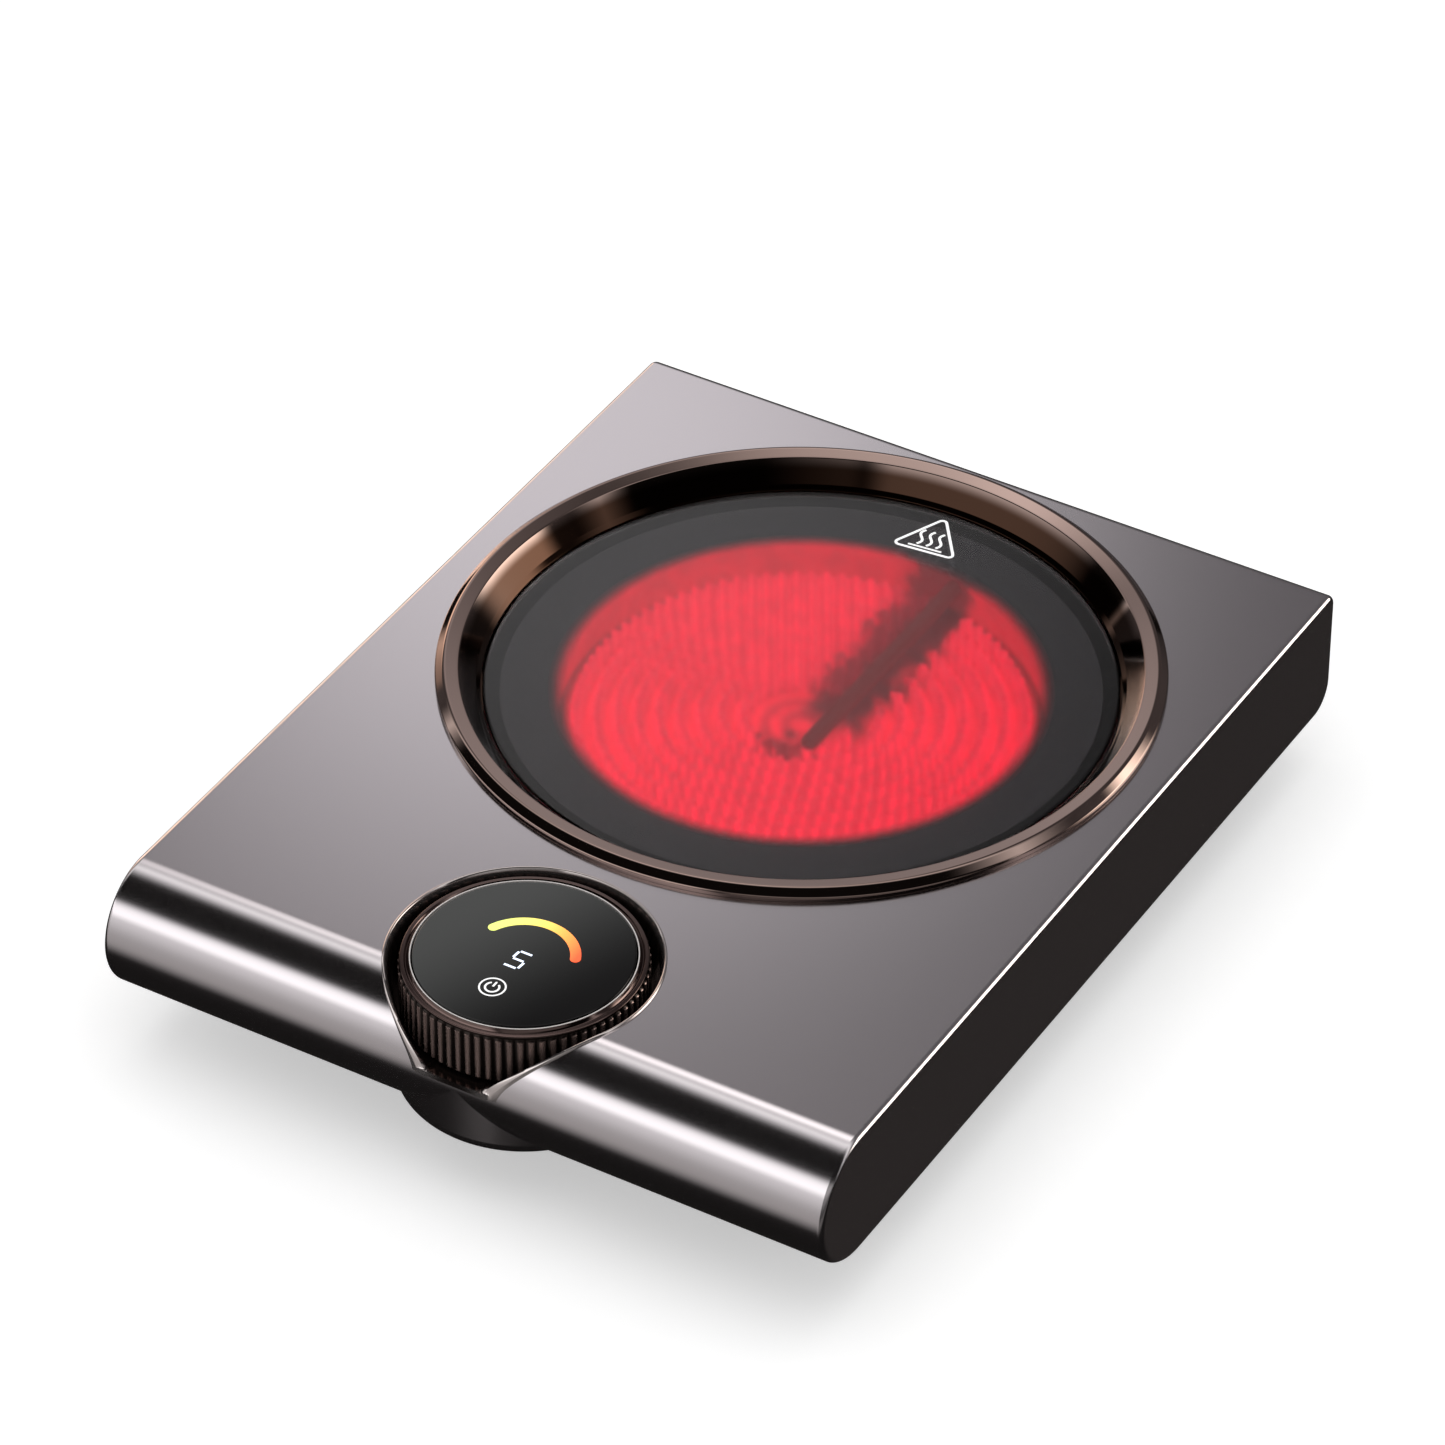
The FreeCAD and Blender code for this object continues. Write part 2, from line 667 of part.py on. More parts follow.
def foot_places(s):
    """Return where the four feet stand."""
    x = s.tray_side - s.foot_inset
    return [(side * x, y) for side in (-1, 1)
            for y in (s.tray_front + s.foot_inset, s.tray_back - s.foot_inset)]


def base_tray(s):
    """The pan under the housing, with a flange, an air intake and heat slots."""
    body = new_body("base_tray")
    pan = new_sketch(body, "pan_outline", "XY_Plane", s.foot_height)
    rectangle(pan, (-s.tray_side, s.tray_side), (s.tray_front, s.tray_back))
    pad(body, "pan_block", pan, s.tray_drop)
    rim = new_sketch(body, "flange_outline", "XY_Plane", s.bottom - s.wall)
    rectangle(rim, (-s.flange_side, s.flange_side),
              (s.tray_front - s.flange_width, s.tray_back + s.flange_width))
    pad(body, "flange_block", rim, s.wall)
    fillet(body, "tray_corners", s.tray_corner, upright)
    hollow = new_sketch(body, "pan_hollow_outline", "XY_Plane", s.tray_floor)
    inner_side = s.tray_side - s.wall
    corner = s.tray_corner - s.wall
    front = s.tray_front + s.wall
    back = s.tray_back - s.wall
    outline(hollow, [(-inner_side, front, corner), (inner_side, front, corner),
                     (inner_side, back, corner), (-inner_side, back, corner)])
    pocket(body, "pan_hollow", hollow, s.tray_drop)
    holes = new_sketch(body, "tray_flange_holes_outline", "XY_Plane", s.bottom - s.wall - 1)
    for x, y in tray_screw_places(s):
        circle(holes, x, y, s.screw_radius + s.screw_gap)
    pocket(body, "tray_flange_holes", holes, s.wall + 2)
    slots = new_sketch(body, "tray_slots_outline", "XY_Plane", s.foot_height - 1)
    for index in range(-3, 4):
        middle = s.fan_x + s.intake_pitch * index
        half = s.intake_width / 2
        reach = s.intake_reach - index * index * 0.7
        rectangle(slots, (middle - half, middle + half), (s.fan_y - reach, s.fan_y + reach))
    for index in range(-4, 5):
        middle = s.ring_y + s.heat_slot_pitch * index
        half = s.heat_slot_width / 2
        reach = s.heat_slot_length / 2
        rectangle(slots, (-reach, reach), (middle - half, middle + half))
    for x, y in fan_screw_places(s):
        circle(slots, x, y, s.screw_radius + s.screw_gap)
    pocket(body, "tray_slots", slots, s.wall + 2)
    return body


def rubber_feet(s):
    """Four round feet, a little narrower where they stand."""
    feet = []
    for index, (x, y) in enumerate(foot_places(s), 1):
        foot = DOC.addObject("Part::Cone", f"foot_{index}")
        bind(foot, "Radius1", s.foot_radius - 1)
        bind(foot, "Radius2", s.foot_radius)
        bind(foot, "Height", s.foot_height)
        place(foot, x, y)
        feet.append(foot)
    return group("rubber_feet", feet)


def base_screws(s):
    """Six screws that hold the tray's flange to the housing."""
    return screws("base_screws", tray_screw_places(s), s.bottom - s.wall,
                  s.bottom + s.boss_height - 1, s, head_up=False)


# ---------------------------------------------------------------- cooking zone

def trim_ring(s):
    """The raised ring: a rounded land, a sloping inner wall and a ledge under the glass."""
    land_inner = s.ring_radius - s.ring_land
    neck_wall = s.ring_bore + 2
    body = revolved("trim_ring", [
        (s.ledge_radius, s.ledge_under), (neck_wall, s.ledge_under),
        (neck_wall, s.ceiling - 4.5), (s.neck_radius, s.ceiling - 0.5),
        (s.neck_radius, s.panel), (s.ring_radius, s.panel),
        (s.ring_radius, s.ring_top, s.ring_height * 0.8), (land_inner, s.ring_top, 0.8),
        (s.ring_bore, s.glass_top), (s.ring_bore, s.ledge_top), (s.ledge_radius, s.ledge_top),
    ], 0, s.ring_y)
    holes = new_sketch(body, "ring_holes_outline", "XY_Plane", s.panel)
    for x, y in round_places(s.ring_screw_circle, RING_SCREW_ANGLES):
        circle(holes, x, y, s.screw_radius + s.screw_gap)
    pocket(body, "ring_holes", holes, s.ring_height * 0.6)
    return body


def ring_screws(s):
    """Six screws up through the panel into the trim ring."""
    places = round_places(s.ring_screw_circle, RING_SCREW_ANGLES, s.ring_y)
    return screws("ring_screws", places, s.ceiling, s.panel + s.ring_height * 0.55, s,
                  head_up=False)


def glass_gasket(s):
    """The flat gasket between the ledge and the glass."""
    return revolved("glass_gasket", [
        (s.ledge_radius + 1, s.ledge_top), (s.glass_radius, s.ledge_top),
        (s.glass_radius, s.glass_under), (s.ledge_radius + 1, s.glass_under)], 0, s.ring_y)


def glass_plate(s):
    """The round glass-ceramic plate."""
    return revolved("glass_plate", [
        (0, s.glass_under), (s.glass_radius, s.glass_under, 0.5),
        (s.glass_radius, s.glass_top, 0.8), (0, s.glass_top)], 0, s.ring_y)


def limiter_slot(name, s, low):
    """A slot for the limiter's rod through the back of the dish or its rim."""
    half = s.limiter_radius + 0.6
    return box(name, (s.limiter_side - half, s.limiter_side + half),
               (s.ring_y + s.rim_inner - 5, s.ring_y + s.dish_radius + 1), (low, s.glass_top))


def heater_dish(s):
    """The sheet dish that holds the insulation against the glass."""
    top = s.glass_under - 0.6
    inner = s.dish_radius - s.sheet
    blank = revolved("heater_dish_blank", [
        (0, s.dish_under), (s.dish_radius, s.dish_under), (s.dish_radius, top),
        (inner, top), (inner, s.dish_under + s.sheet), (0, s.dish_under + s.sheet)],
        0, s.ring_y)
    slot = limiter_slot("heater_dish_slot", s, s.limiter_z - s.limiter_radius - 0.4)
    return less("heater_dish", blank, [slot])


def heater_insulation(s):
    """The insulation disc under the ribbon."""
    inner = s.dish_radius - s.sheet
    low = s.dish_under + s.sheet
    return revolved("heater_insulation", [
        (0, low), (inner, low), (inner, s.insulation_top), (0, s.insulation_top)], 0, s.ring_y)


def insulation_rim(s):
    """The insulation ring round the ribbon, pressed against the glass."""
    outer = s.dish_radius - s.sheet
    blank = revolved("insulation_rim_blank", [
        (s.rim_inner, s.insulation_top), (outer, s.insulation_top),
        (outer, s.glass_under), (s.rim_inner, s.glass_under)], 0, s.ring_y)
    slot = limiter_slot("insulation_rim_slot", s, s.limiter_z - s.limiter_radius - 0.4)
    return less("insulation_rim", blank, [slot])


def heating_ribbon(s):
    """Turns of ribbon on edge, each open at the front, linked left and right in turn."""
    span = (s.insulation_top, s.ribbon_top)
    turns = []
    for index in range(RIBBON_TURNS):
        inner = s.ribbon_first + s.ribbon_pitch * index
        ring = cylinder(f"ribbon_outer_{index}", inner + s.ribbon_thickness, 0, s.ring_y, span)
        core = cylinder(f"ribbon_inner_{index}", inner, 0, s.ring_y, span)
        turns.append(less(f"ribbon_turn_{index}", ring, [core]))
    widest = s.ribbon_first + s.ribbon_pitch * RIBBON_TURNS
    gap = box("ribbon_gap_box", (-s.ribbon_gap / 2, s.ribbon_gap / 2),
              (s.ring_y - widest, s.ring_y), span)
    open_turns = less("ribbon_open_turns", group("ribbon_turns", turns), [gap])
    links = []
    for index in range(RIBBON_TURNS - 1):
        near = s.ribbon_first + s.ribbon_pitch * index
        far = near + s.ribbon_pitch + s.ribbon_thickness
        edge = s.ribbon_gap / 2
        x_span = (edge, edge + s.ribbon_thickness)
        if index % 2:
            x_span = (-edge - s.ribbon_thickness, -edge)
        links.append(box(f"ribbon_link_{index}", x_span,
                         (s.ring_y - far + 0.1, s.ring_y - near - 0.3), span))
    return joined("heating_ribbon", [open_turns] + links)


def limiter_rod(s):
    """The over-heat limiter's rod, across the ribbon to the middle of the zone."""
    return rod("limiter_rod", s.limiter_radius, s.limiter_side,
               (s.ring_y - s.limiter_reach, s.ring_y + s.dish_radius + 1.5), s.limiter_z)


def limiter_switch(s):
    """The switch at the back end of the limiter's rod."""
    start = s.ring_y + s.dish_radius + 1.5
    return box("limiter_switch", (s.limiter_side - 11, s.limiter_side + 11),
               (start, start + 16), (s.limiter_z - 8, s.limiter_z + 2))


def heater_terminal_block(s):
    """A ceramic block on the dish's left side, with two blades."""
    right = -s.dish_radius
    low = s.dish_under + 3
    block = box("terminal_ceramic", (right - 10, right), (s.ring_y - 9, s.ring_y + 9),
                (low, low + 10))
    blades = [box(f"terminal_blade_{side}", (right - 8, right - 3),
                  (s.ring_y + 5 * side - 0.4, s.ring_y + 5 * side + 0.4), (low + 10, low + 16))
              for side in (-1, 1)]
    return joined("heater_terminal_block", [block] + blades)


def heater_springs(s):
    """Two leaf springs between the tray and the dish."""
    leaves = []
    low = s.tray_floor
    high = s.dish_under
    reach = s.spring_reach
    bend = reach - s.spring_foot
    crown = s.spring_crown
    lean = s.sheet / 2
    for side in (-1, 1):
        leaf = new_body(f"leaf_spring_{'front' if side < 0 else 'back'}")
        sketch = new_sketch(leaf, f"{leaf.Name}_side", "XZ_Plane",
                            -s.ring_y - s.spring_place * side)
        outline(sketch, [
            (-reach, low), (-bend, low), (lean - crown, high - s.sheet),
            (crown - lean, high - s.sheet), (bend, low), (reach, low),
            (reach, low + s.sheet), (bend + lean, low + s.sheet), (crown, high),
            (-crown, high), (-bend - lean, low + s.sheet), (-reach, low + s.sheet)])
        pad(leaf, f"{leaf.Name}_strip", sketch, s.spring_width, both_ways=True)
        leaves.append(leaf)
    return group("heater_springs", leaves)


# ---------------------------------------------------------------- knob

def knob_well(s):
    """The collar and floor that the knob sits in, trimmed to stand proud of the nose."""
    outer = s.well_radius
    body = revolved("well_blank", [
        (s.bush_radius, s.well_under), (outer, s.well_under),
        (outer, s.panel + 2), (outer - s.well_wall, s.panel + 2),
        (outer - s.well_wall, s.well_top), (s.bush_radius, s.well_top)], 0, s.knob_y)
    legs = new_sketch(body, "well_legs_outline", "XY_Plane", s.bracket_top)
    holes = new_sketch(body, "well_leg_holes_outline", "XY_Plane", s.bracket_top)
    for x, y in round_places(s.leg_circle, LEG_ANGLES):
        circle(legs, x, y, s.leg_radius)
        circle(holes, x, y, s.screw_radius + s.screw_gap)
    pad(body, "well_legs", legs, s.leg_height)
    pocket(body, "well_leg_holes", holes, s.leg_height * 0.7)
    limit = new_body("well_limit")
    view = new_sketch(limit, "well_limit_view", "YZ_Plane")
    side_outline(view, s.front - s.well_proud, s.back, s.bottom - s.well_proud,
                 s.panel + s.well_proud, s.heel_radius, s.brow_radius)
    pad(limit, "well_limit_block", view, s.body_width, both_ways=True)
    well = DOC.addObject("Part::Common", "knob_well")
    well.Base = body
    well.Tool = limit
    return well


def knob_bracket(s):
    """The steel plate under the well's legs."""
    thickness = 1.5
    blank = cylinder("bracket_disc", s.leg_circle + s.leg_radius + 0.3, 0, s.knob_y,
                     (s.bracket_top - thickness, s.bracket_top))
    tools = []
    for index, (x, y) in enumerate(round_places(s.leg_circle, LEG_ANGLES, s.knob_y), 1):
        tools.append(cylinder(f"bracket_hole_{index}", s.screw_radius + s.screw_gap, x, y,
                              (s.bracket_top - thickness - 1, s.bracket_top + 1)))
    tools.append(cylinder("bracket_cable_hole", s.post_radius - s.post_wall, 0, s.knob_y,
                          (s.bracket_top - thickness - 1, s.bracket_top + 1)))
    return less("knob_bracket", blank, tools)


def well_screws(s):
    """Four screws up through the bracket into the well's legs."""
    places = round_places(s.leg_circle, LEG_ANGLES, s.knob_y)
    return screws("well_screws", places, s.bracket_top - 1.5,
                  s.bracket_top + s.leg_height * 0.65, s, head_up=False)


def knob_bush(s):
    """The flanged bush in the well's floor that the knob's hub turns in."""
    bore = s.hub_radius + s.running_gap
    return revolved("knob_bush", [
        (bore, s.well_under - 1), (s.bush_radius + 2, s.well_under - 1),
        (s.bush_radius + 2, s.well_under), (s.bush_radius, s.well_under),
        (s.bush_radius, s.web_under - 0.2), (bore, s.web_under - 0.2)], 0, s.knob_y)


def knob_ring(s):
    """The knob: a ribbed wall, a web and a hub that reaches down through the well."""
    root = s.knob_radius - s.rib_depth
    inner = root - s.knob_wall
    low = s.well_top + s.knob_lift
    hub_inner = s.hub_radius - s.hub_wall
    body = revolved("knob_ring", [
        (hub_inner, s.gear_under - 1.7), (s.hub_radius, s.gear_under - 1.7),
        (s.hub_radius, s.web_under), (inner, s.web_under), (inner, low), (root, low),
        (root, s.bezel_under), (inner, s.bezel_under), (inner, s.web_under + s.web_thickness),
        (hub_inner, s.web_under + s.web_thickness)], 0, s.knob_y)
    rib = new_sketch(body, "rib_outline", "XY_Plane", low)
    circle(rib, root, 0, s.rib_depth)
    ridge = pad(body, "rib", rib, s.bezel_under - low)
    DOC.recompute()
    ribs = body.newObject("PartDesign::PolarPattern", "ribs")
    ribs.Originals = [ridge]
    for origin in body.Origin.OriginFeatures:
        if origin.Role == "Z_Axis":
            ribs.Axis = (origin, [""])
    ribs.Angle = 360
    bind(ribs, "Occurrences", s.rib_count)
    body.Tip = ribs
    return body


def knob_bezel(s):
    """The bright ring on top of the knob, round the lens."""
    outer = s.knob_radius - s.rib_depth + 0.1
    top = s.bezel_under + s.bezel_height
    return revolved("knob_bezel", [
        (s.bezel_inner, s.bezel_under), (outer, s.bezel_under), (outer, top - 0.5),
        (outer - 0.9, top), (s.bezel_inner, top)], 0, s.knob_y)


def knob_clip(s):
    """The open ring that keeps the gear on the hub."""
    low = s.gear_under - 1.2
    ring = revolved("clip_ring", [
        (s.hub_radius, low), (s.hub_radius + 2.4, low),
        (s.hub_radius + 2.4, s.gear_under), (s.hub_radius, s.gear_under)], 0, s.knob_y)
    gap = box("clip_gap", (-4, 4), (s.knob_y - 18, s.knob_y), (low - 1, s.gear_under + 1))
    return less("knob_clip", ring, [gap])


def involute(angle):
    """Return the involute function of an angle."""
    return math.tan(angle) - angle


def gear_face(module, teeth, bore, turn):
    """Return the face of a spur gear about the origin, with its first tooth at angle turn."""
    pitch = module * teeth / 2
    base = pitch * math.cos(PRESSURE_ANGLE)
    root = pitch - 1.25 * module
    tip = pitch + 0.85 * module
    backlash = 0.06 * module / pitch
    half = math.pi / (2 * teeth) - backlash
    flank = [(max(root, base), half + involute(PRESSURE_ANGLE))]
    for step in (1, 2, 3):
        radius = base + (tip - base) * step / 3
        lean = involute(math.acos(min(1.0, base / radius)))
        flank.append((radius, half + involute(PRESSURE_ANGLE) - lean))
    if root < base:
        flank.insert(0, (root, half + involute(PRESSURE_ANGLE)))
    points = []
    for tooth in range(teeth):
        middle = turn + 2 * math.pi * tooth / teeth
        for radius, offset in flank:
            points.append((radius, middle - offset))
        for radius, offset in reversed(flank):
            points.append((radius, middle + offset))
    corners = [FreeCAD.Vector(radius * math.cos(angle), radius * math.sin(angle), 0)
               for radius, angle in points]
    wires = [Part.makePolygon(corners + corners[:1])]
    if bore:
        wires.append(Part.Wire(Part.makeCircle(bore)))
    return Part.Face(wires, "Part::FaceMakerBullseye")


def shape_node(name, shape, x, y, z):
    """Keep a shape made with Part's own functions, and place it."""
    node = DOC.addObject("Part::Feature", name)
    node.Shape = shape
    node.Placement = FreeCAD.Placement(FreeCAD.Vector(x.value, y.value, z.value),
                                       FreeCAD.Rotation())
    return node


def knob_gear(s):
    """The spur gear on the knob's hub; one tooth points straight back."""
    face = gear_face(s.gear_module.value, int(s.gear_teeth.value), s.hub_radius.value,
                     math.pi / 2)
    return shape_node("knob_gear", face.extrude(UP * s.gear_height.value),
                      as_size(0), s.knob_y, s.gear_under)


def encoder_pinion(s):
    """The pinion that the knob's gear drives, in one piece with the encoder's shaft."""
    teeth = int(s.pinion_teeth.value)
    face = gear_face(s.gear_module.value, teeth, 0, math.pi / teeth - math.pi / 2)
    wheel = face.extrude(UP * s.gear_height.value)
    length = s.encoder_shaft_length.value
    shaft = Part.makeCylinder(s.encoder_shaft.value, length, UP * -length)
    return shape_node("encoder_pinion", wheel.fuse(shaft).removeSplitter(),
                      as_size(0), s.pinion_y, s.gear_under)


def encoder_body(s):
    """The encoder's case, with a bore for the pinion's shaft."""
    low = s.bracket_top + s.board_thickness
    half = s.encoder_width / 2
    case = box("encoder_case", (-half, half), (s.pinion_y - half, s.pinion_y + half),
               (low, s.gear_under - 1.2))
    bore = cylinder("encoder_bore", s.encoder_shaft + s.running_gap, 0, s.pinion_y,
                    (low + 0.5, s.gear_under))
    return less("encoder_body", case, [bore])


def encoder_board(s):
    """The small board that the encoder is soldered to."""
    return box("encoder_board", (-9, 9), (s.pinion_y - 8, s.pinion_y + 6.5),
               (s.bracket_top, s.bracket_top + s.board_thickness))


# ---------------------------------------------------------------- fixed display

def display_post(s):
    """The fixed tube up through the knob, with a foot on the bracket."""
    bore = s.post_radius - s.post_wall
    top = s.board_top - s.board_thickness - 3
    return revolved("display_post", [
        (bore, s.bracket_top), (13, s.bracket_top), (13, s.bracket_top + 1.5),
        (s.post_radius, s.bracket_top + 1.5), (s.post_radius, top), (bore, top)], 0, s.knob_y)


def display_carrier(s):
    """The cup on the post that holds the display board and the lens."""
    low = s.board_top - s.board_thickness - 3
    step = s.board_top - s.board_thickness
    radius = s.carrier_radius
    return revolved("display_carrier", [
        (5, low), (radius, low), (radius, s.lens_under), (radius - 1.4, s.lens_under),
        (radius - 1.4, step), (radius - 3, step), (radius - 3, low + 1.4), (5, low + 1.4)],
        0, s.knob_y)


def display_board(s):
    """The round display board."""
    return cylinder("display_board", s.carrier_radius - 1.6, 0, s.knob_y,
                    (s.board_top - s.board_thickness, s.board_top))


def digit_display(s):
    """The single digit behind the lens."""
    return box("digit_display", (-4, 4), (s.knob_y - 8, s.knob_y + 2),
               (s.board_top, s.lens_under - 0.2))


def light_guide(s):
    """The curved light guide over the digit, open towards the user."""
    span = (s.board_top, s.lens_under - 0.2)
    outer = cylinder("guide_outer", s.guide_radius, 0, s.knob_y + 1, span)
    inner = cylinder("guide_inner", s.guide_radius - s.guide_width, 0, s.knob_y + 1,
                     (s.board_top - 1, s.lens_under))
    outer.Angle = 145
    turn = FreeCAD.Rotation(UP, 17.5)
    outer.Placement = FreeCAD.Placement(FreeCAD.Vector(), turn)
    place(outer, 0, s.knob_y + 1, s.board_top)
    return less("light_guide", outer, [inner])


def touch_electrode(s):
    """The sprung electrode under the touch key."""
    return cylinder("touch_electrode", s.key_radius, 0, s.knob_y - s.key_reach,
                    (s.board_top, s.lens_under))


def display_lens(s):
    """The lens over the display."""
    return revolved("display_lens", [
        (0, s.lens_under), (s.lens_radius, s.lens_under), (s.lens_radius, s.lens_top, 0.5),
        (0, s.lens_top)], 0, s.knob_y)


# ---------------------------------------------------------------- power side

def board_places(s):
    """Return the power board's four fixing places."""
    inset = 4
    return [(s.board_left + x, s.board_front + y)
            for x in (inset, s.power_board_width - inset)
            for y in (inset, s.power_board_length - inset)]


def power_board(s):
    """The board that switches the heater."""
    blank = box("power_board_blank", (s.board_left, s.board_left + s.power_board_width),
                (s.board_front, s.board_front + s.power_board_length),
                (s.board_z, s.board_z + s.power_board_thickness))
    holes = [cylinder(f"power_board_hole_{index}", s.screw_radius + s.screw_gap, x, y,
                      (s.board_z - 1, s.board_z + 3))
             for index, (x, y) in enumerate(board_places(s), 1)]
    return less("power_board", blank, holes)


def board_standoffs(s):
    """Four pillars under the power board."""
    pillars = []
    for index, (x, y) in enumerate(board_places(s), 1):
        pillar = cylinder(f"pillar_{index}", 3, x, y, (s.tray_floor, s.board_z))
        bore = cylinder(f"pillar_bore_{index}", s.screw_radius + s.screw_gap, x, y,
                        (s.tray_floor + 1, s.board_z + 1))
        pillars.append(less(f"standoff_{index}", pillar, [bore]))
    return group("board_standoffs", pillars)


def board_screws(s):
    """Four screws down into the pillars."""
    return screws("board_screws", board_places(s), s.board_z + s.power_board_thickness,
                  s.tray_floor + 1.5, s)


def component_base(s):
    """Return the height of the power board's upper face."""
    return s.board_z + s.power_board_thickness


def board_block(name, s, part):
    """Make a block-shaped part standing on the power board."""
    across, along, width, length, height = part
    left = s.board_left + across
    front = s.board_front + along
    base = component_base(s)
    return box(name, (left, left + width), (front, front + length), (base, base + height))


def heatsink(s):
    """A finned heat sink along the board's left edge."""
    base = component_base(s)
    left = s.board_left + 1
    front = s.board_front + 10
    body = new_body("heatsink")
    sketch = new_sketch(body, "heatsink_comb", "XY_Plane", base)
    corners = [(left + 12, front), (left + 12, front + 30)]
    for fin in range(4, -1, -1):
        start = front + 7 * fin
        corners += [(left, start + 2), (left, start)]
        if fin:
            corners += [(left + 9, start), (left + 9, start - 5)]
    corners[2] = (left, front + 30)
    outline(sketch, corners)
    pad(body, "heatsink_fins", sketch, 20)
    return body


def triac(s):
    """The power switch on the heat sink's flat side."""
    base = component_base(s)
    left = s.board_left + 13
    middle = s.board_front + 25
    case = box("triac_case", (left, left + 4.5), (middle - 5, middle + 5), (base + 4, base + 13))
    tab = box("triac_tab", (left, left + 1.3), (middle - 5, middle + 5), (base + 13, base + 19))
    legs = [box(f"triac_leg_{pin_index}", (left + 2, left + 2.6),
                (middle + 2.5 * pin_index - 0.4, middle + 2.5 * pin_index + 0.4),
                (base, base + 4)) for pin_index in (-1, 0, 1)]
    return joined("triac", [case, tab] + legs)


def relay(s):
    """The safety relay."""
    return board_block("relay", s, RELAY)


def filter_capacitor(s):
    """The mains filter capacitor."""
    return board_block("filter_capacitor", s, FILTER_CAPACITOR)


def filter_choke(s):
    """The ring-shaped filter choke, flat on the board."""
    choke = DOC.addObject("Part::Torus", "filter_choke")
    choke.Radius1 = 4.6
    choke.Radius2 = 2.8
    place(choke, s.board_left + 20, s.board_front + 7.6, component_base(s) + 2.8)
    return choke


def screw_terminal(s):
    """The terminal block for the mains leads."""
    top = component_base(s) + TERMINAL[4]
    left = s.board_left + TERMINAL[0]
    front = s.board_front + TERMINAL[1]
    block = board_block("terminal_body", s, TERMINAL)
    slots = [cylinder(f"terminal_screw_{index}", 1.6, left + 2.5 + 5 * index, front + 4,
                      (top - 3, top + 1)) for index in (0, 1)]
    return less("screw_terminal", block, slots)


def mains_fuse(s):
    """The fuse, lying along the board's front half."""
    base = component_base(s)
    return rod("mains_fuse", 2.6, s.board_left + 45,
               (s.board_front + 10, s.board_front + 30), base + 2.6)


def fan_frame(s):
    """The fan's square frame, with its duct, struts, motor base and spindle."""
    low = s.tray_floor
    high = low + s.fan_height
    half = s.fan_size / 2
    blank = box("fan_block", (s.fan_x - half, s.fan_x + half),
                (s.fan_y - half, s.fan_y + half), (low, high))
    duct = cylinder("fan_duct", s.fan_bore, s.fan_x, s.fan_y, (low - 1, high + 1))
    holes = [cylinder(f"fan_hole_{index}", s.screw_radius + s.screw_gap, x, y,
                      (low - 1, high + 1))
             for index, (x, y) in enumerate(fan_screw_places(s), 1)]
    shell = less("fan_shell", blank, [duct] + holes)
    base = cylinder("fan_base", s.fan_hub, s.fan_x, s.fan_y, (low, low + 2))
    spindle = cylinder("fan_spindle", s.fan_pin, s.fan_x, s.fan_y, (low, low + 12))
    struts = []
    for index in range(FAN_STRUTS):
        strut = DOC.addObject("Part::Box", f"fan_strut_{index + 1}")
        bind(strut, "Length", s.fan_bore + 1)
        bind(strut, "Width", s.wall)
        bind(strut, "Height", s.wall)
        turn = FreeCAD.Rotation(UP, 30 + 360 * index / FAN_STRUTS)
        strut.Placement = FreeCAD.Placement(FreeCAD.Vector(), turn)
        place(strut, s.fan_x, s.fan_y, low)
        struts.append(strut)
    return joined("fan_frame", [shell, base, spindle] + struts)


def fan_rotor(s):
    """The fan's hub and tilted blades, bored to run on the spindle."""
    hub_radius = s.fan_hub.value
    height = s.fan_height.value
    bore = s.fan_pin.value + s.running_gap.value
    rotor = Part.makeCylinder(hub_radius, height - 4, FreeCAD.Vector(0, 0, 2.6))
    hollow = Part.makeCylinder(hub_radius - 1, height - 5, FreeCAD.Vector(0, 0, 2.6))
    sleeve = Part.makeCylinder(bore + 1.5, height - 5, FreeCAD.Vector(0, 0, 2.6))
    rotor = rotor.cut(hollow).fuse(sleeve)
    reach = s.fan_bore.value - s.fan_blade_gap.value
    for index in range(FAN_BLADES):
        blade = Part.makeBox(reach - hub_radius, 12, 1.2, FreeCAD.Vector(hub_radius - 0.5, -6, -0.6))
        blade.rotate(FreeCAD.Vector(), RIGHT, 38)
        blade.translate(UP * (height / 2 + 0.6))
        blade.rotate(FreeCAD.Vector(), UP, 360 * index / FAN_BLADES)
        rotor = rotor.fuse(blade)
    rotor = rotor.cut(Part.makeCylinder(bore, height - 5.5, FreeCAD.Vector(0, 0, 2.6)))
    return shape_node("fan_rotor", rotor, s.fan_x, s.fan_y, s.tray_floor)


def fan_screws(s):
    """Four screws down through the fan's corners into the tray."""
    return screws("fan_screws", fan_screw_places(s), s.tray_floor + s.fan_height,
                  s.foot_height + 0.4, s)


def power_inlet(s):
    """The inlet: a face flush in the back wall, a flange behind it and a socket for a plug."""
    face = s.back + s.well_proud
    inside = s.back - s.wall
    rear = face - s.inlet_depth
    half_width = s.inlet_width / 2
    half_height = s.inlet_height / 2
    x = s.inlet_x
    z = s.inlet_z
    front_block = box("inlet_face", (x - half_width, x + half_width), (rear, face),
                      (z - half_height + 0.3, z + half_height - 0.3))
    flange = box("inlet_flange", (x - half_width - 2, x + half_width + 2), (inside - 2, inside),
                 (z - half_height + 0.3, z + half_height - 0.3))
    whole = joined("inlet_block", [front_block, flange])
    socket = box("inlet_socket", (x - s.socket_width / 2, x + s.socket_width / 2),
                 (face - s.socket_depth, face + 1),
                 (z - s.socket_height / 2, z + s.socket_height / 2))
    slots = inlet_blades("inlet_slot", s)
    return less("power_inlet", whole, [socket] + slots)


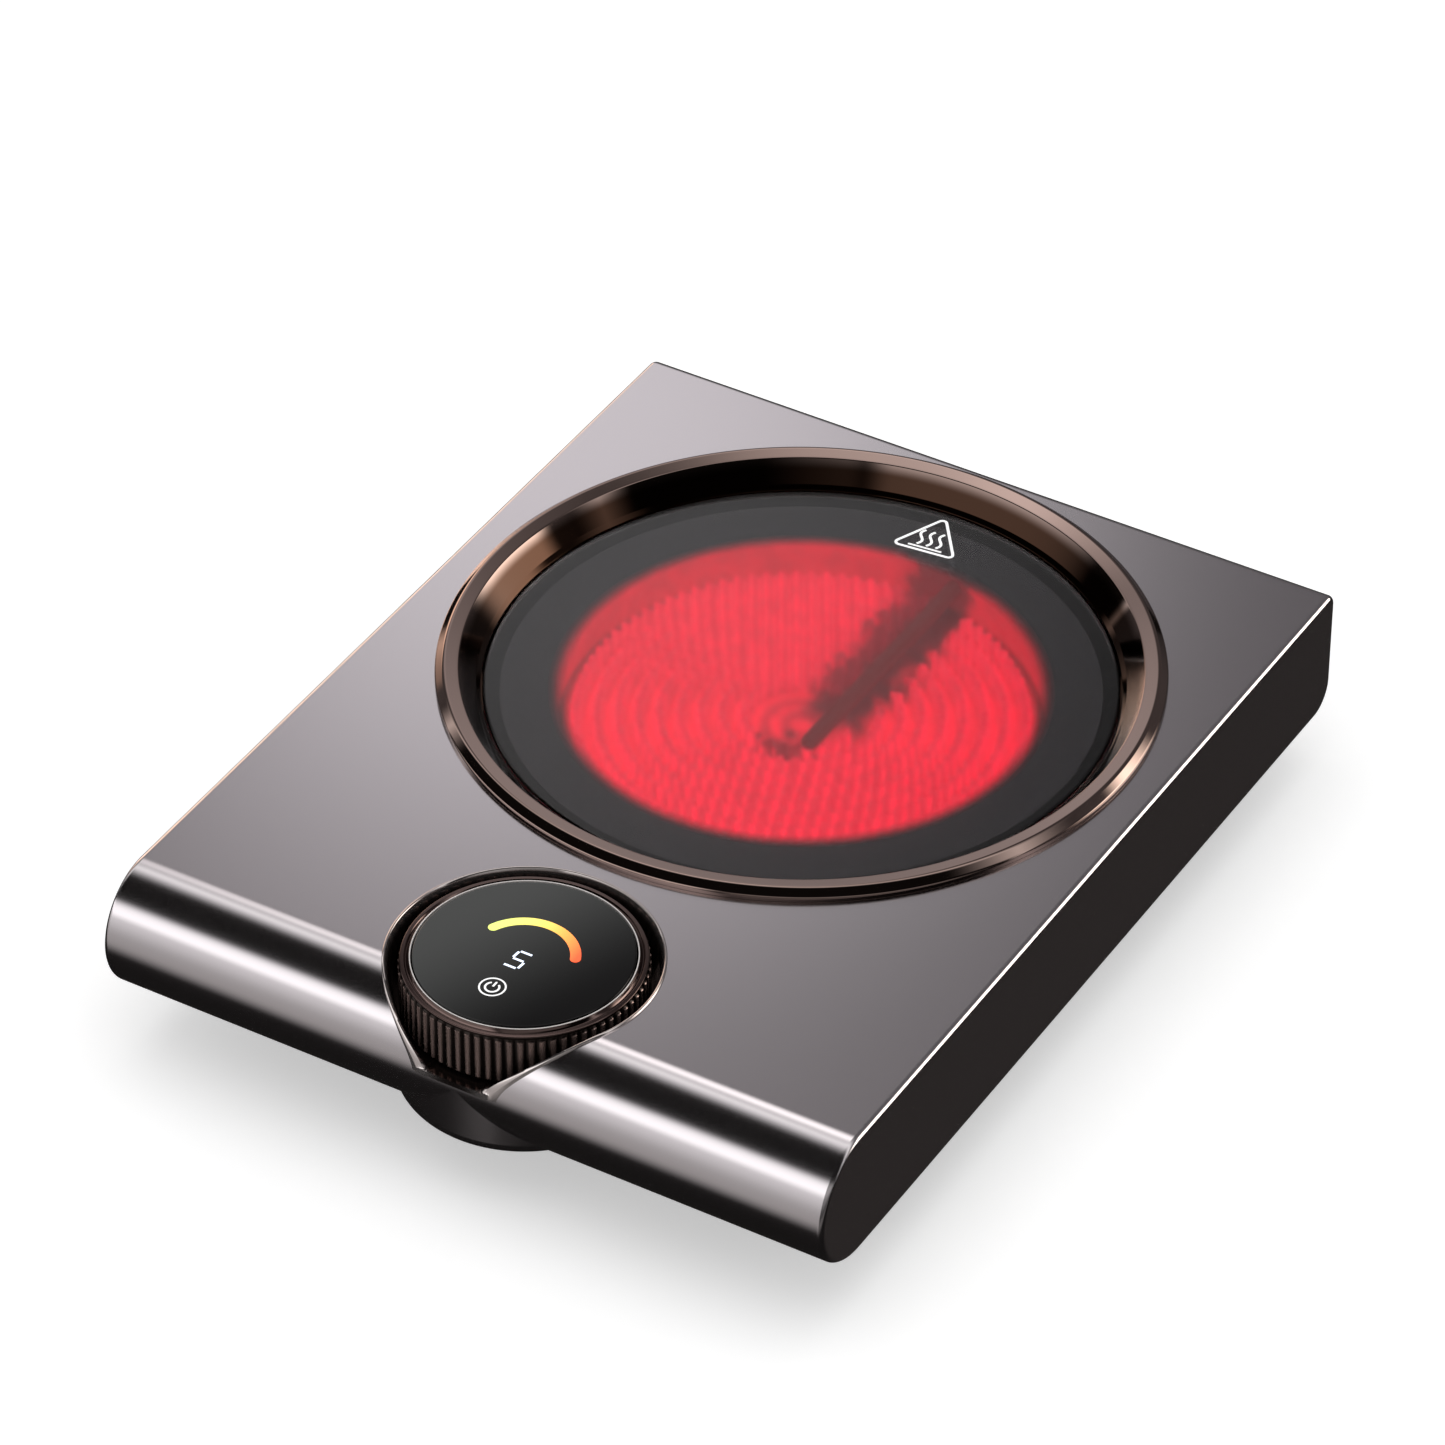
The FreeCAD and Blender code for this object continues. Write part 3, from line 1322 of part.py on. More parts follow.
def inlet_blades(name, s):
    """Make the three blades of the inlet, from behind it into the socket."""
    floor = s.back + s.well_proud - s.socket_depth
    rear = s.back + s.well_proud - s.inlet_depth - 6
    blades = []
    for index, (x, z) in enumerate(((-7, -2), (0, 2), (7, -2)), 1):
        x = s.inlet_x + x
        z = s.inlet_z + z
        blades.append(box(f"{name}_{index}", (x - 1, x + 1), (rear, floor + s.pin_length),
                          (z - 2, z + 2)))
    return blades


def inlet_pins(s):
    """The three metal blades of the inlet."""
    return group("inlet_pins", inlet_blades("inlet_pin", s))


# ---------------------------------------------------------------- whole

MAKERS = (
    upper_shell, base_tray, rubber_feet, base_screws,
    trim_ring, ring_screws, glass_gasket, glass_plate,
    heater_dish, heater_insulation, insulation_rim, heating_ribbon,
    limiter_rod, limiter_switch, heater_terminal_block, heater_springs,
    knob_well, knob_bracket, well_screws, knob_bush, knob_ring, knob_bezel, knob_clip,
    knob_gear, encoder_pinion, encoder_body, encoder_board,
    display_post, display_carrier, display_board, digit_display, light_guide,
    touch_electrode, display_lens,
    power_board, board_standoffs, board_screws, heatsink, triac, relay,
    filter_capacitor, filter_choke, screw_terminal, mains_fuse,
    fan_frame, fan_rotor, fan_screws, power_inlet, inlet_pins,
)


def check(nodes):
    """Stop if any object of the document failed or any node's shape is missing or broken."""
    for thing in DOC.Objects:
        if "Invalid" in thing.State or "Error" in thing.State:
            raise RuntimeError(f"{thing.Label} failed: {thing.State}")
    for node in nodes:
        if node.Shape.isNull() or not node.Shape.isValid() or not node.Shape.Solids:
            raise RuntimeError(f"{node.Label} has no sound solid")


def main():
    """Build every piece, check it and write it."""
    s = add_levels(load_sizes())
    nodes = [make(s) for make in MAKERS]
    DOC.recompute()
    check(nodes)
    os.makedirs("parts", exist_ok=True)
    for node in nodes:
        node.Shape.exportStep(f"parts/{node.Label}.step")
        print(node.Label, len(node.Shape.Solids), "solids", round(node.Shape.Volume), "mm3")


main()
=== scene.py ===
import logging
import math
from dataclasses import dataclass, field
from enum import Enum
from functools import cache

import bpy
import numpy as np
from mathutils import Matrix, Vector


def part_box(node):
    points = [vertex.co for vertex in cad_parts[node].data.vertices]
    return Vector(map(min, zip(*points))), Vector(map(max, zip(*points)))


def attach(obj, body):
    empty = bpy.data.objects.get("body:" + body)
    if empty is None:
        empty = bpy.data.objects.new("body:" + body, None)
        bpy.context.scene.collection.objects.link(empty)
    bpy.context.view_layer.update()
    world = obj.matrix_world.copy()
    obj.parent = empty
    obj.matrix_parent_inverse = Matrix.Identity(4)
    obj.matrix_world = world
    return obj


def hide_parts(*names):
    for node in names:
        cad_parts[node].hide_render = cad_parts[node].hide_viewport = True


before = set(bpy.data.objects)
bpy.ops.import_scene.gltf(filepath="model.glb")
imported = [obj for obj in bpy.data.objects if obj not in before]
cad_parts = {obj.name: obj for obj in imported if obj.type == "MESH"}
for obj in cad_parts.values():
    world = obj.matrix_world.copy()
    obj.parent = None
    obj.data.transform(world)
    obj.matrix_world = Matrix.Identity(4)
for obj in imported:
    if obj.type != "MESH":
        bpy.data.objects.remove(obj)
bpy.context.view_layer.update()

# Looks of a table-top infrared hot plate: polished housing, bronze trim ring, glowing glass
# zone, ribbed knob with a lit display. Metres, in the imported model's frame.

LOG = logging.getLogger("hot_plate")
MM = 0.001
Colour = tuple[float, float, float]


class Part(str, Enum):
    """The bodies that new pieces ride on."""

    HOUSING = "housing"
    KNOB = "knob"


# ---------------------------------------------------------------- mesh building

def grid_faces(rows: int, columns: int, wrap_rows: bool, wrap_columns: bool) -> np.ndarray:
    """Number the corners of the quads of a grid stored row by row.

    Args:
        rows: points along the first parameter.
        columns: points along the second parameter.
        wrap_rows: whether the last row joins the first.
        wrap_columns: whether the last column joins the first.

    Returns:
        An array of quads, four point numbers each.
    """
    row = np.arange(rows if wrap_rows else rows - 1)[:, None]
    column = np.arange(columns if wrap_columns else columns - 1)[None, :]
    next_row = (row + 1) % rows
    next_column = (column + 1) % columns
    corners = (row * columns + column, next_row * columns + column,
               next_row * columns + next_column, row * columns + next_column)
    return np.stack([np.broadcast_to(c, corners[0].shape) for c in corners], -1).reshape(-1, 4)


def make_object(name: str, points: np.ndarray, faces: list, sharp_degrees: float = 35.0
                ) -> bpy.types.Object:
    """Make a smooth-shaded mesh object with sharp edges above an angle.

    Args:
        name: the object's name.
        points: vertex positions, one row each.
        faces: lists of vertex numbers.
        sharp_degrees: the angle between faces past which an edge stays sharp.

    Returns:
        The object, linked to the scene.
    """
    mesh = bpy.data.meshes.new(name)
    mesh.from_pydata(np.asarray(points, float).tolist(), [], faces)
    mesh.validate()
    mesh.shade_smooth()
    mesh.set_sharp_from_angle(angle=math.radians(sharp_degrees))
    made = bpy.data.objects.new(name, mesh)
    bpy.context.scene.collection.objects.link(made)
    return made


def arc_points(centre: tuple[float, float], radius: float, start: float, end: float,
               steps: int) -> np.ndarray:
    """Return points on an arc: centre + radius (cos t, sin t) for t from start to end.

    Args:
        centre: the arc's centre.
        radius: the arc's radius.
        start: first angle in degrees.
        end: last angle in degrees.
        steps: number of spans.

    Returns:
        An array of steps + 1 points.
    """
    turn = np.radians(np.linspace(start, end, steps + 1))
    return np.stack([centre[0] + radius * np.cos(turn), centre[1] + radius * np.sin(turn)], 1)


def rounded(corners: list[tuple[float, ...]], closed: bool = True, steps: int = 7) -> np.ndarray:
    """Round the corners of an outline with tangent arcs.

    A corner is (x, y) or (x, y, radius). The arc's centre lies on the corner's bisector, at
    radius / sin(half the corner's angle), and a short straight stretch guards each end.

    Args:
        corners: the outline's corners, in millimetres.
        closed: whether the last corner joins the first.
        steps: spans of each arc.

    Returns:
        The outline's points in metres.
    """
    spots = np.array([corner[:2] for corner in corners], float)
    parts = []
    for index, corner in enumerate(corners):
        at = spots[index]
        inner = closed or 0 < index < len(corners) - 1
        if len(corner) < 3 or not inner:
            parts.append(at[None])
            continue
        back = spots[index - 1] - at
        ahead = spots[(index + 1) % len(spots)] - at
        back /= np.linalg.norm(back)
        ahead /= np.linalg.norm(ahead)
        half = math.acos(float(np.clip(back @ ahead, -1, 1))) / 2
        bisector = (back + ahead) / np.linalg.norm(back + ahead)
        centre = at + bisector * corner[2] / math.sin(half)
        reach = corner[2] / math.tan(half)
        first = at + back * reach - centre
        last = at + ahead * reach - centre
        start = math.atan2(first[1], first[0])
        sweep = (math.atan2(last[1], last[0]) - start + math.pi) % (2 * math.pi) - math.pi
        arc = arc_points(tuple(centre), corner[2], math.degrees(start),
                         math.degrees(start + sweep), steps)
        guard = min(0.04, reach * 0.2)
        parts += [arc[:1] + back * guard, arc, arc[-1:] + ahead * guard]
    return np.concatenate(parts) * MM


def loft(name: str, rows: np.ndarray, joined: bool = False, sharp_degrees: float = 35.0
         ) -> bpy.types.Object:
    """Skin a row of closed sections, with a cap at each end unless the last joins the first.

    Args:
        name: the piece's name.
        rows: sections x points x 3.
        joined: whether the last section joins the first.
        sharp_degrees: the angle past which an edge stays sharp.

    Returns:
        The new object, facing out.
    """
    sections, count = rows.shape[:2]
    faces = grid_faces(sections, count, joined, True).tolist()
    if not joined:
        last = (sections - 1) * count
        faces += [list(range(count)), list(range(last, last + count))[::-1]]
    made = make_object(name, rows.reshape(-1, 3), faces, sharp_degrees)
    face_out(made)
    return made


def lathe(name: str, profile: np.ndarray, centre: tuple[float, float], segments: int = 192,
          closed: bool = True) -> bpy.types.Object:
    """Turn a profile about an upright axis: (r cos t, r sin t, z).

    An open profile starts and ends on the axis, where each end becomes one point.

    Args:
        name: the piece's name.
        profile: radius and height of each profile point, outside to the right of its path.
        centre: where the axis stands.
        segments: steps round the axis.
        closed: whether the profile is a loop that stays off the axis.

    Returns:
        The new object.
    """
    turn = np.linspace(0, 2 * np.pi, segments, endpoint=False)
    body = profile if closed else profile[1:-1]
    count = len(body)
    radius = body[:, 0][None, :]
    points = np.stack([centre[0] + radius * np.cos(turn)[:, None],
                       centre[1] + radius * np.sin(turn)[:, None],
                       np.broadcast_to(body[:, 1][None, :], (segments, count))], -1)
    points = points.reshape(-1, 3)
    faces = grid_faces(segments, count, True, closed).tolist()
    if not closed:
        poles = np.array([[centre[0], centre[1], profile[0, 1]],
                          [centre[0], centre[1], profile[-1, 1]]])
        low = len(points)
        points = np.concatenate([points, poles])
        ring = np.arange(segments)
        ahead = (ring + 1) % segments
        faces += np.stack([np.full(segments, low), ahead * count, ring * count], 1).tolist()
        faces += np.stack([np.full(segments, low + 1), ring * count + count - 1,
                           ahead * count + count - 1], 1).tolist()
    made = make_object(name, points, faces)
    face_out(made)
    return made


def face_out(piece: bpy.types.Object) -> None:
    """Turn a closed piece's faces outwards, told by the sign of its volume.

    Args:
        piece: the piece.
    """
    mesh = piece.data
    mesh.calc_loop_triangles()
    points = np.empty(len(mesh.vertices) * 3)
    mesh.vertices.foreach_get("co", points)
    points = points.reshape(-1, 3)
    corners = np.empty(len(mesh.loop_triangles) * 3, int)
    mesh.loop_triangles.foreach_get("vertices", corners)
    a, b, c = (points[corners.reshape(-1, 3)[:, i]] for i in range(3))
    if np.einsum("ij,ij->i", a, np.cross(b, c)).sum() < 0:
        mesh.flip_normals()


def solid_prism(name: str, outline: np.ndarray, low: float, high: float) -> bpy.types.Object:
    """Raise a flat outline into an upright prism.

    Args:
        name: the piece's name.
        outline: the outline's points (x, y), in order.
        low: the lower face's height.
        high: the upper face's height.

    Returns:
        The new object.
    """
    count = len(outline)
    points = np.concatenate([np.column_stack([outline, np.full(count, z)]) for z in (low, high)])
    return loft(name, points.reshape(2, count, 3))


def boolean(piece: bpy.types.Object, tool: bpy.types.Object, operation: str) -> None:
    """Join or cut one closed mesh with another, then drop the tool.

    Args:
        piece: the mesh to change.
        tool: the other mesh.
        operation: UNION, DIFFERENCE or INTERSECT.
    """
    modifier = piece.modifiers.new("combine", "BOOLEAN")
    modifier.operation = operation
    modifier.object = tool
    modifier.solver = "MANIFOLD"
    graph = bpy.context.evaluated_depsgraph_get()
    result = bpy.data.meshes.new_from_object(piece.evaluated_get(graph))
    piece.modifiers.clear()
    piece.data = result
    bpy.data.objects.remove(tool)


def merged(name: str, pieces: list[bpy.types.Object]) -> bpy.types.Object:
    """Put several meshes into one object.

    Args:
        name: the new object's name.
        pieces: the meshes, which are removed.

    Returns:
        The new object.
    """
    points, faces, start = [], [], 0
    for piece in pieces:
        coordinates = np.empty(len(piece.data.vertices) * 3)
        piece.data.vertices.foreach_get("co", coordinates)
        points.append(coordinates.reshape(-1, 3))
        faces += [[start + corner for corner in face.vertices] for face in piece.data.polygons]
        start += len(piece.data.vertices)
        bpy.data.objects.remove(piece)
    return make_object(name, np.concatenate(points), faces)


# ---------------------------------------------------------------- finishes

@dataclass(frozen=True)
class Finish:
    """A surface with fine grain in its colour, gloss and relief.

    Attributes:
        name: the finish's name.
        colour: base colour.
        metallic: 1 for bare metal.
        roughness: middle roughness.
        spread: how far the roughness wanders.
        mottle: how far the colour wanders.
        grain: noise cells per metre.
        stretch: grain scale along X, Y and Z, for brushed or moulded directions.
        relief: height of the surface grain in metres.
        specular: specular level of a non-metal.
    """

    name: str
    colour: Colour
    metallic: float = 0.0
    roughness: float = 0.5
    spread: float = 0.06
    mottle: float = 0.12
    grain: float = 900.0
    stretch: Colour = (1.0, 1.0, 1.0)
    relief: float = 0.00002
    specular: float = 0.5

    def fade(self, material: bpy.types.Material, source: bpy.types.NodeSocket, near: float,
             far: float, low: float, high: float) -> bpy.types.NodeSocket:
        """Blend smoothly from one value to another as a source passes between two limits.

        Args:
            material: the material being made.
            source: the socket to read.
            near: where the blend starts.
            far: where it ends.
            low: value at the start.
            high: value at the end.

        Returns:
            The blended socket.
        """
        blend = material.node_tree.nodes.new("ShaderNodeMapRange")
        blend.interpolation_type = "SMOOTHSTEP"
        for name, value in (("From Min", near), ("From Max", far), ("To Min", low),
                            ("To Max", high)):
            blend.inputs[name].default_value = value
        material.node_tree.links.new(source, blend.inputs["Value"])
        return blend.outputs["Result"]

    def maths(self, material: bpy.types.Material, operation: str,
              *values: bpy.types.NodeSocket | float) -> bpy.types.NodeSocket:
        """Join sockets and numbers with one arithmetic node.

        Args:
            material: the material being made.
            operation: the node's operation.
            values: sockets or numbers.

        Returns:
            The result's socket.
        """
        node = material.node_tree.nodes.new("ShaderNodeMath")
        node.operation = operation
        for index, value in enumerate(values):
            if isinstance(value, bpy.types.NodeSocket):
                material.node_tree.links.new(value, node.inputs[index])
            else:
                node.inputs[index].default_value = value
        return node.outputs[0]

    def place(self, material: bpy.types.Material, centre: tuple[float, float]
              ) -> tuple[bpy.types.NodeSocket, ...]:
        """Return sockets for x, y, height and radius about an upright axis.

        Args:
            material: the material being made.
            centre: where the axis stands.

        Returns:
            The four sockets.
        """
        nodes, links = material.node_tree.nodes, material.node_tree.links
        axes = nodes.new("ShaderNodeSeparateXYZ")
        links.new(nodes.new("ShaderNodeTexCoord").outputs["Object"], axes.inputs["Vector"])
        x = self.maths(material, "SUBTRACT", axes.outputs["X"], centre[0])
        y = self.maths(material, "SUBTRACT", axes.outputs["Y"], centre[1])
        squares = self.maths(material, "ADD", self.maths(material, "MULTIPLY", x, x),
                             self.maths(material, "MULTIPLY", y, y))
        return x, y, axes.outputs["Z"], self.maths(material, "SQRT", squares)

    def blend_colour(self, material: bpy.types.Material, share: bpy.types.NodeSocket,
                     first: Colour, second: Colour) -> bpy.types.NodeSocket:
        """Mix two colours.

        Args:
            material: the material being made.
            share: how much of the second colour shows.
            first: the first colour.
            second: the second colour.

        Returns:
            The mixed colour's socket.
        """
        mix = material.node_tree.nodes.new("ShaderNodeMix")
        mix.data_type = "RGBA"
        mix.inputs["A"].default_value = (*first, 1)
        mix.inputs["B"].default_value = (*second, 1)
        material.node_tree.links.new(share, mix.inputs["Factor"])
        return mix.outputs["Result"]

    def shader(self, material: bpy.types.Material) -> bpy.types.Node:
        """Return the material's Principled shader with the constant values set.

        Args:
            material: the material being made.

        Returns:
            The shader node.
        """
        shader = material.node_tree.nodes["Principled BSDF"]
        shader.inputs["Metallic"].default_value = self.metallic
        shader.inputs["Specular IOR Level"].default_value = self.specular
        return shader

    def grain_nodes(self, material: bpy.types.Material) -> bpy.types.Node:
        """Add the object-space noise that the finish's variation reads.

        Args:
            material: the material being made.

        Returns:
            The noise node.
        """
        nodes, links = material.node_tree.nodes, material.node_tree.links
        place = nodes.new("ShaderNodeTexCoord")
        scale = nodes.new("ShaderNodeMapping")
        scale.inputs["Scale"].default_value = self.stretch
        noise = nodes.new("ShaderNodeTexNoise")
        noise.inputs["Scale"].default_value = self.grain
        noise.inputs["Detail"].default_value = 3.0
        links.new(place.outputs["Object"], scale.inputs["Vector"])
        links.new(scale.outputs["Vector"], noise.inputs["Vector"])
        return noise

    def vary(self, material: bpy.types.Material, noise: bpy.types.Node,
             shader: bpy.types.Node) -> None:
        """Drive colour, roughness and relief from the noise.

        Args:
            material: the material being made.
            noise: the noise node.
            shader: the Principled shader.
        """
        nodes, links = material.node_tree.nodes, material.node_tree.links
        gloss = nodes.new("ShaderNodeMapRange")
        gloss.inputs["To Min"].default_value = max(0.01, self.roughness - self.spread)
        gloss.inputs["To Max"].default_value = min(1.0, self.roughness + self.spread)
        links.new(noise.outputs["Fac"], gloss.inputs["Value"])
        links.new(gloss.outputs["Result"], shader.inputs["Roughness"])
        darker = tuple(c * (1 - self.mottle) for c in self.colour)
        lighter = tuple(min(1, c * (1 + self.mottle)) for c in self.colour)
        links.new(self.blend_colour(material, noise.outputs["Fac"], darker, lighter),
                  shader.inputs["Base Color"])
        if self.relief:
            bump = nodes.new("ShaderNodeBump")
            bump.inputs["Distance"].default_value = self.relief
            links.new(noise.outputs["Fac"], bump.inputs["Height"])
            links.new(bump.outputs["Normal"], shader.inputs["Normal"])

    @cache
    def material(self) -> bpy.types.Material:
        """Build the finish's material, once.

        Returns:
            The material.
        """
        material = bpy.data.materials.new(f"{self.name}_finish")
        material.use_nodes = True
        shader = self.shader(material)
        self.vary(material, self.grain_nodes(material), shader)
        return material


@dataclass(frozen=True)
class ClearGlass(Finish):
    """Smoked glass that light passes through.

    Attributes:
        clearness: share of light that passes.
        ior: refractive index.
    """

    clearness: float = 1.0
    ior: float = 1.5

    def shader(self, material: bpy.types.Material) -> bpy.types.Node:
        """Return the shader with transmission set.

        Args:
            material: the material being made.

        Returns:
            The shader node.
        """
        shader = super().shader(material)
        shader.inputs["Transmission Weight"].default_value = self.clearness
        shader.inputs["IOR"].default_value = self.ior
        return shader


@dataclass(frozen=True)
class Lit(Finish):
    """A surface that gives its own light.

    Attributes:
        light: the light's colour.
        strength: the light's strength.
    """

    light: Colour = (1.0, 1.0, 1.0)
    strength: float = 1.0

    def shader(self, material: bpy.types.Material) -> bpy.types.Node:
        """Return the shader with its light set.

        Args:
            material: the material being made.

        Returns:
            The shader node.
        """
        shader = super().shader(material)
        shader.inputs["Emission Color"].default_value = (*self.light, 1)
        shader.inputs["Emission Strength"].default_value = self.strength
        return shader


@dataclass(frozen=True)
class SoftGlow(Lit):
    """See-through light that falls smoothly from a middle to nothing.

    Attributes:
        centre: the middle.
        reach: where the light ends.
    """

    centre: Colour = (0.0, 0.0, 0.0)
    reach: float = 0.3

    def vary(self, material: bpy.types.Material, noise: bpy.types.Node,
             shader: bpy.types.Node) -> None:
        """Drive the light from the distance to the middle.

        Args:
            material: the material being made.
            noise: the noise node.
            shader: the Principled shader.
        """
        super().vary(material, noise, shader)
        nodes, links = material.node_tree.nodes, material.node_tree.links
        place = nodes.new("ShaderNodeTexCoord")
        away = nodes.new("ShaderNodeVectorMath")
        away.operation = "DISTANCE"
        away.inputs[1].default_value = self.centre
        links.new(place.outputs["Object"], away.inputs[0])
        fall = nodes.new("ShaderNodeMapRange")
        fall.interpolation_type = "SMOOTHERSTEP"
        fall.inputs["From Max"].default_value = self.reach
        fall.inputs["To Min"].default_value = self.strength
        fall.inputs["To Max"].default_value = 0.0
        links.new(away.outputs["Value"], fall.inputs["Value"])
        glow = nodes.new("ShaderNodeEmission")
        glow.inputs["Color"].default_value = (*self.light, 1)
        links.new(fall.outputs["Result"], glow.inputs["Strength"])
        both = nodes.new("ShaderNodeAddShader")
        links.new(glow.outputs[0], both.inputs[0])
        links.new(nodes.new("ShaderNodeBsdfTransparent").outputs[0], both.inputs[1])
        links.new(both.outputs[0], nodes["Material Output"].inputs["Surface"])


@dataclass(frozen=True)
class RadialPaintedLightAndPrint(Finish):
    """A round piece in two colours, one inside a radius and one outside it: painted shade and
    highlight on the trim ring, the collar and the knob, and print tones on the glass.

    Attributes:
        centre: the piece's axis.
        inner: the colour inside.
        near: radius where the tones begin to blend.
        far: radius where the blend ends.
    """

    centre: tuple[float, float] = (0.0, 0.0)
    inner: Colour = (0.1, 0.1, 0.1)
    near: float = 0.0
    far: float = 0.1

    def vary(self, material: bpy.types.Material, noise: bpy.types.Node,
             shader: bpy.types.Node) -> None:
        """Drive the colour from the radius: the painted shade and highlight bands, and the
        print's tones.

        Args:
            material: the material being made.
            noise: the noise node.
            shader: the Principled shader.
        """
        super().vary(material, noise, shader)
        radius = self.place(material, self.centre)[3]
        share = self.fade(material, radius, self.near, self.far, 0.0, 1.0)
        material.node_tree.links.new(
            self.blend_colour(material, share, self.inner, self.colour),
            shader.inputs["Base Color"])


@dataclass(frozen=True)
class SoftPrint(RadialPaintedLightAndPrint):
    """Print that fades out towards the middle of a round piece."""

    def vary(self, material: bpy.types.Material, noise: bpy.types.Node,
             shader: bpy.types.Node) -> None:
        """Drive the cover from the radius as well.

        Args:
            material: the material being made.
            noise: the noise node.
            shader: the Principled shader.
        """
        super().vary(material, noise, shader)
        radius = self.place(material, self.centre)[3]
        material.node_tree.links.new(self.fade(material, radius, self.near, self.far, 0.0, 1.0),
                                     shader.inputs["Alpha"])


@dataclass(frozen=True)
class Ramp(Lit):
    """Light whose colour runs through four stops from left to right.

    Attributes:
        centre: where the run's middle lies.
        half: half the run's width.
        stops: the four colours.
    """

    centre: tuple[float, float] = (0.0, 0.0)
    half: float = 0.012
    stops: tuple[Colour, ...] = ()

    def vary(self, material: bpy.types.Material, noise: bpy.types.Node,
             shader: bpy.types.Node) -> None:
        """Drive the light's colour from x.

        Args:
            material: the material being made.
            noise: the noise node.
            shader: the Principled shader.
        """
        super().vary(material, noise, shader)
        nodes, links = material.node_tree.nodes, material.node_tree.links
        across = self.place(material, self.centre)[0]
        share = nodes.new("ShaderNodeMapRange")
        share.inputs["From Min"].default_value = -self.half
        share.inputs["From Max"].default_value = self.half
        links.new(across, share.inputs["Value"])
        ramp = nodes.new("ShaderNodeValToRGB")
        links.new(share.outputs["Result"], ramp.inputs["Fac"])
        for index, colour in enumerate(self.stops):
            spot = index / (len(self.stops) - 1)
            stop = (ramp.color_ramp.elements[index] if index < 2
                    else ramp.color_ramp.elements.new(1.0))
            stop.position = spot
            stop.color = (*colour, 1)
        links.new(ramp.outputs["Color"], shader.inputs["Emission Color"])
        links.new(ramp.outputs["Color"], shader.inputs["Base Color"])


@dataclass(frozen=True)
class SlantedPaintedReflection(Finish):
    """A face whose colour drifts across it: a painted reflection, pale at the back left and dark
    at the front right.

    Attributes:
        centre: the face's middle.
        other: the colour at the far right, where the painted reflection fades out.
        half: half the width of the drift.
    """

    centre: tuple[float, float] = (0.0, 0.0)
    other: Colour = (0.0, 0.0, 0.0)
    half: float = 0.02

    def vary(self, material: bpy.types.Material, noise: bpy.types.Node,
             shader: bpy.types.Node) -> None:
        """Drive the colour from x less a share of y, which paints the reflection's fall across
        the face.

        Args:
            material: the material being made.
            noise: the noise node.
            shader: the Principled shader.
        """
        super().vary(material, noise, shader)
        x, y, _, _ = self.place(material, self.centre)
        along = self.maths(material, "SUBTRACT", x, self.maths(material, "MULTIPLY", y, 0.35))
        share = self.fade(material, along, -self.half, self.half, 0.0, 1.0)
        material.node_tree.links.new(
            self.blend_colour(material, share, self.colour, self.other),
            shader.inputs["Base Color"])


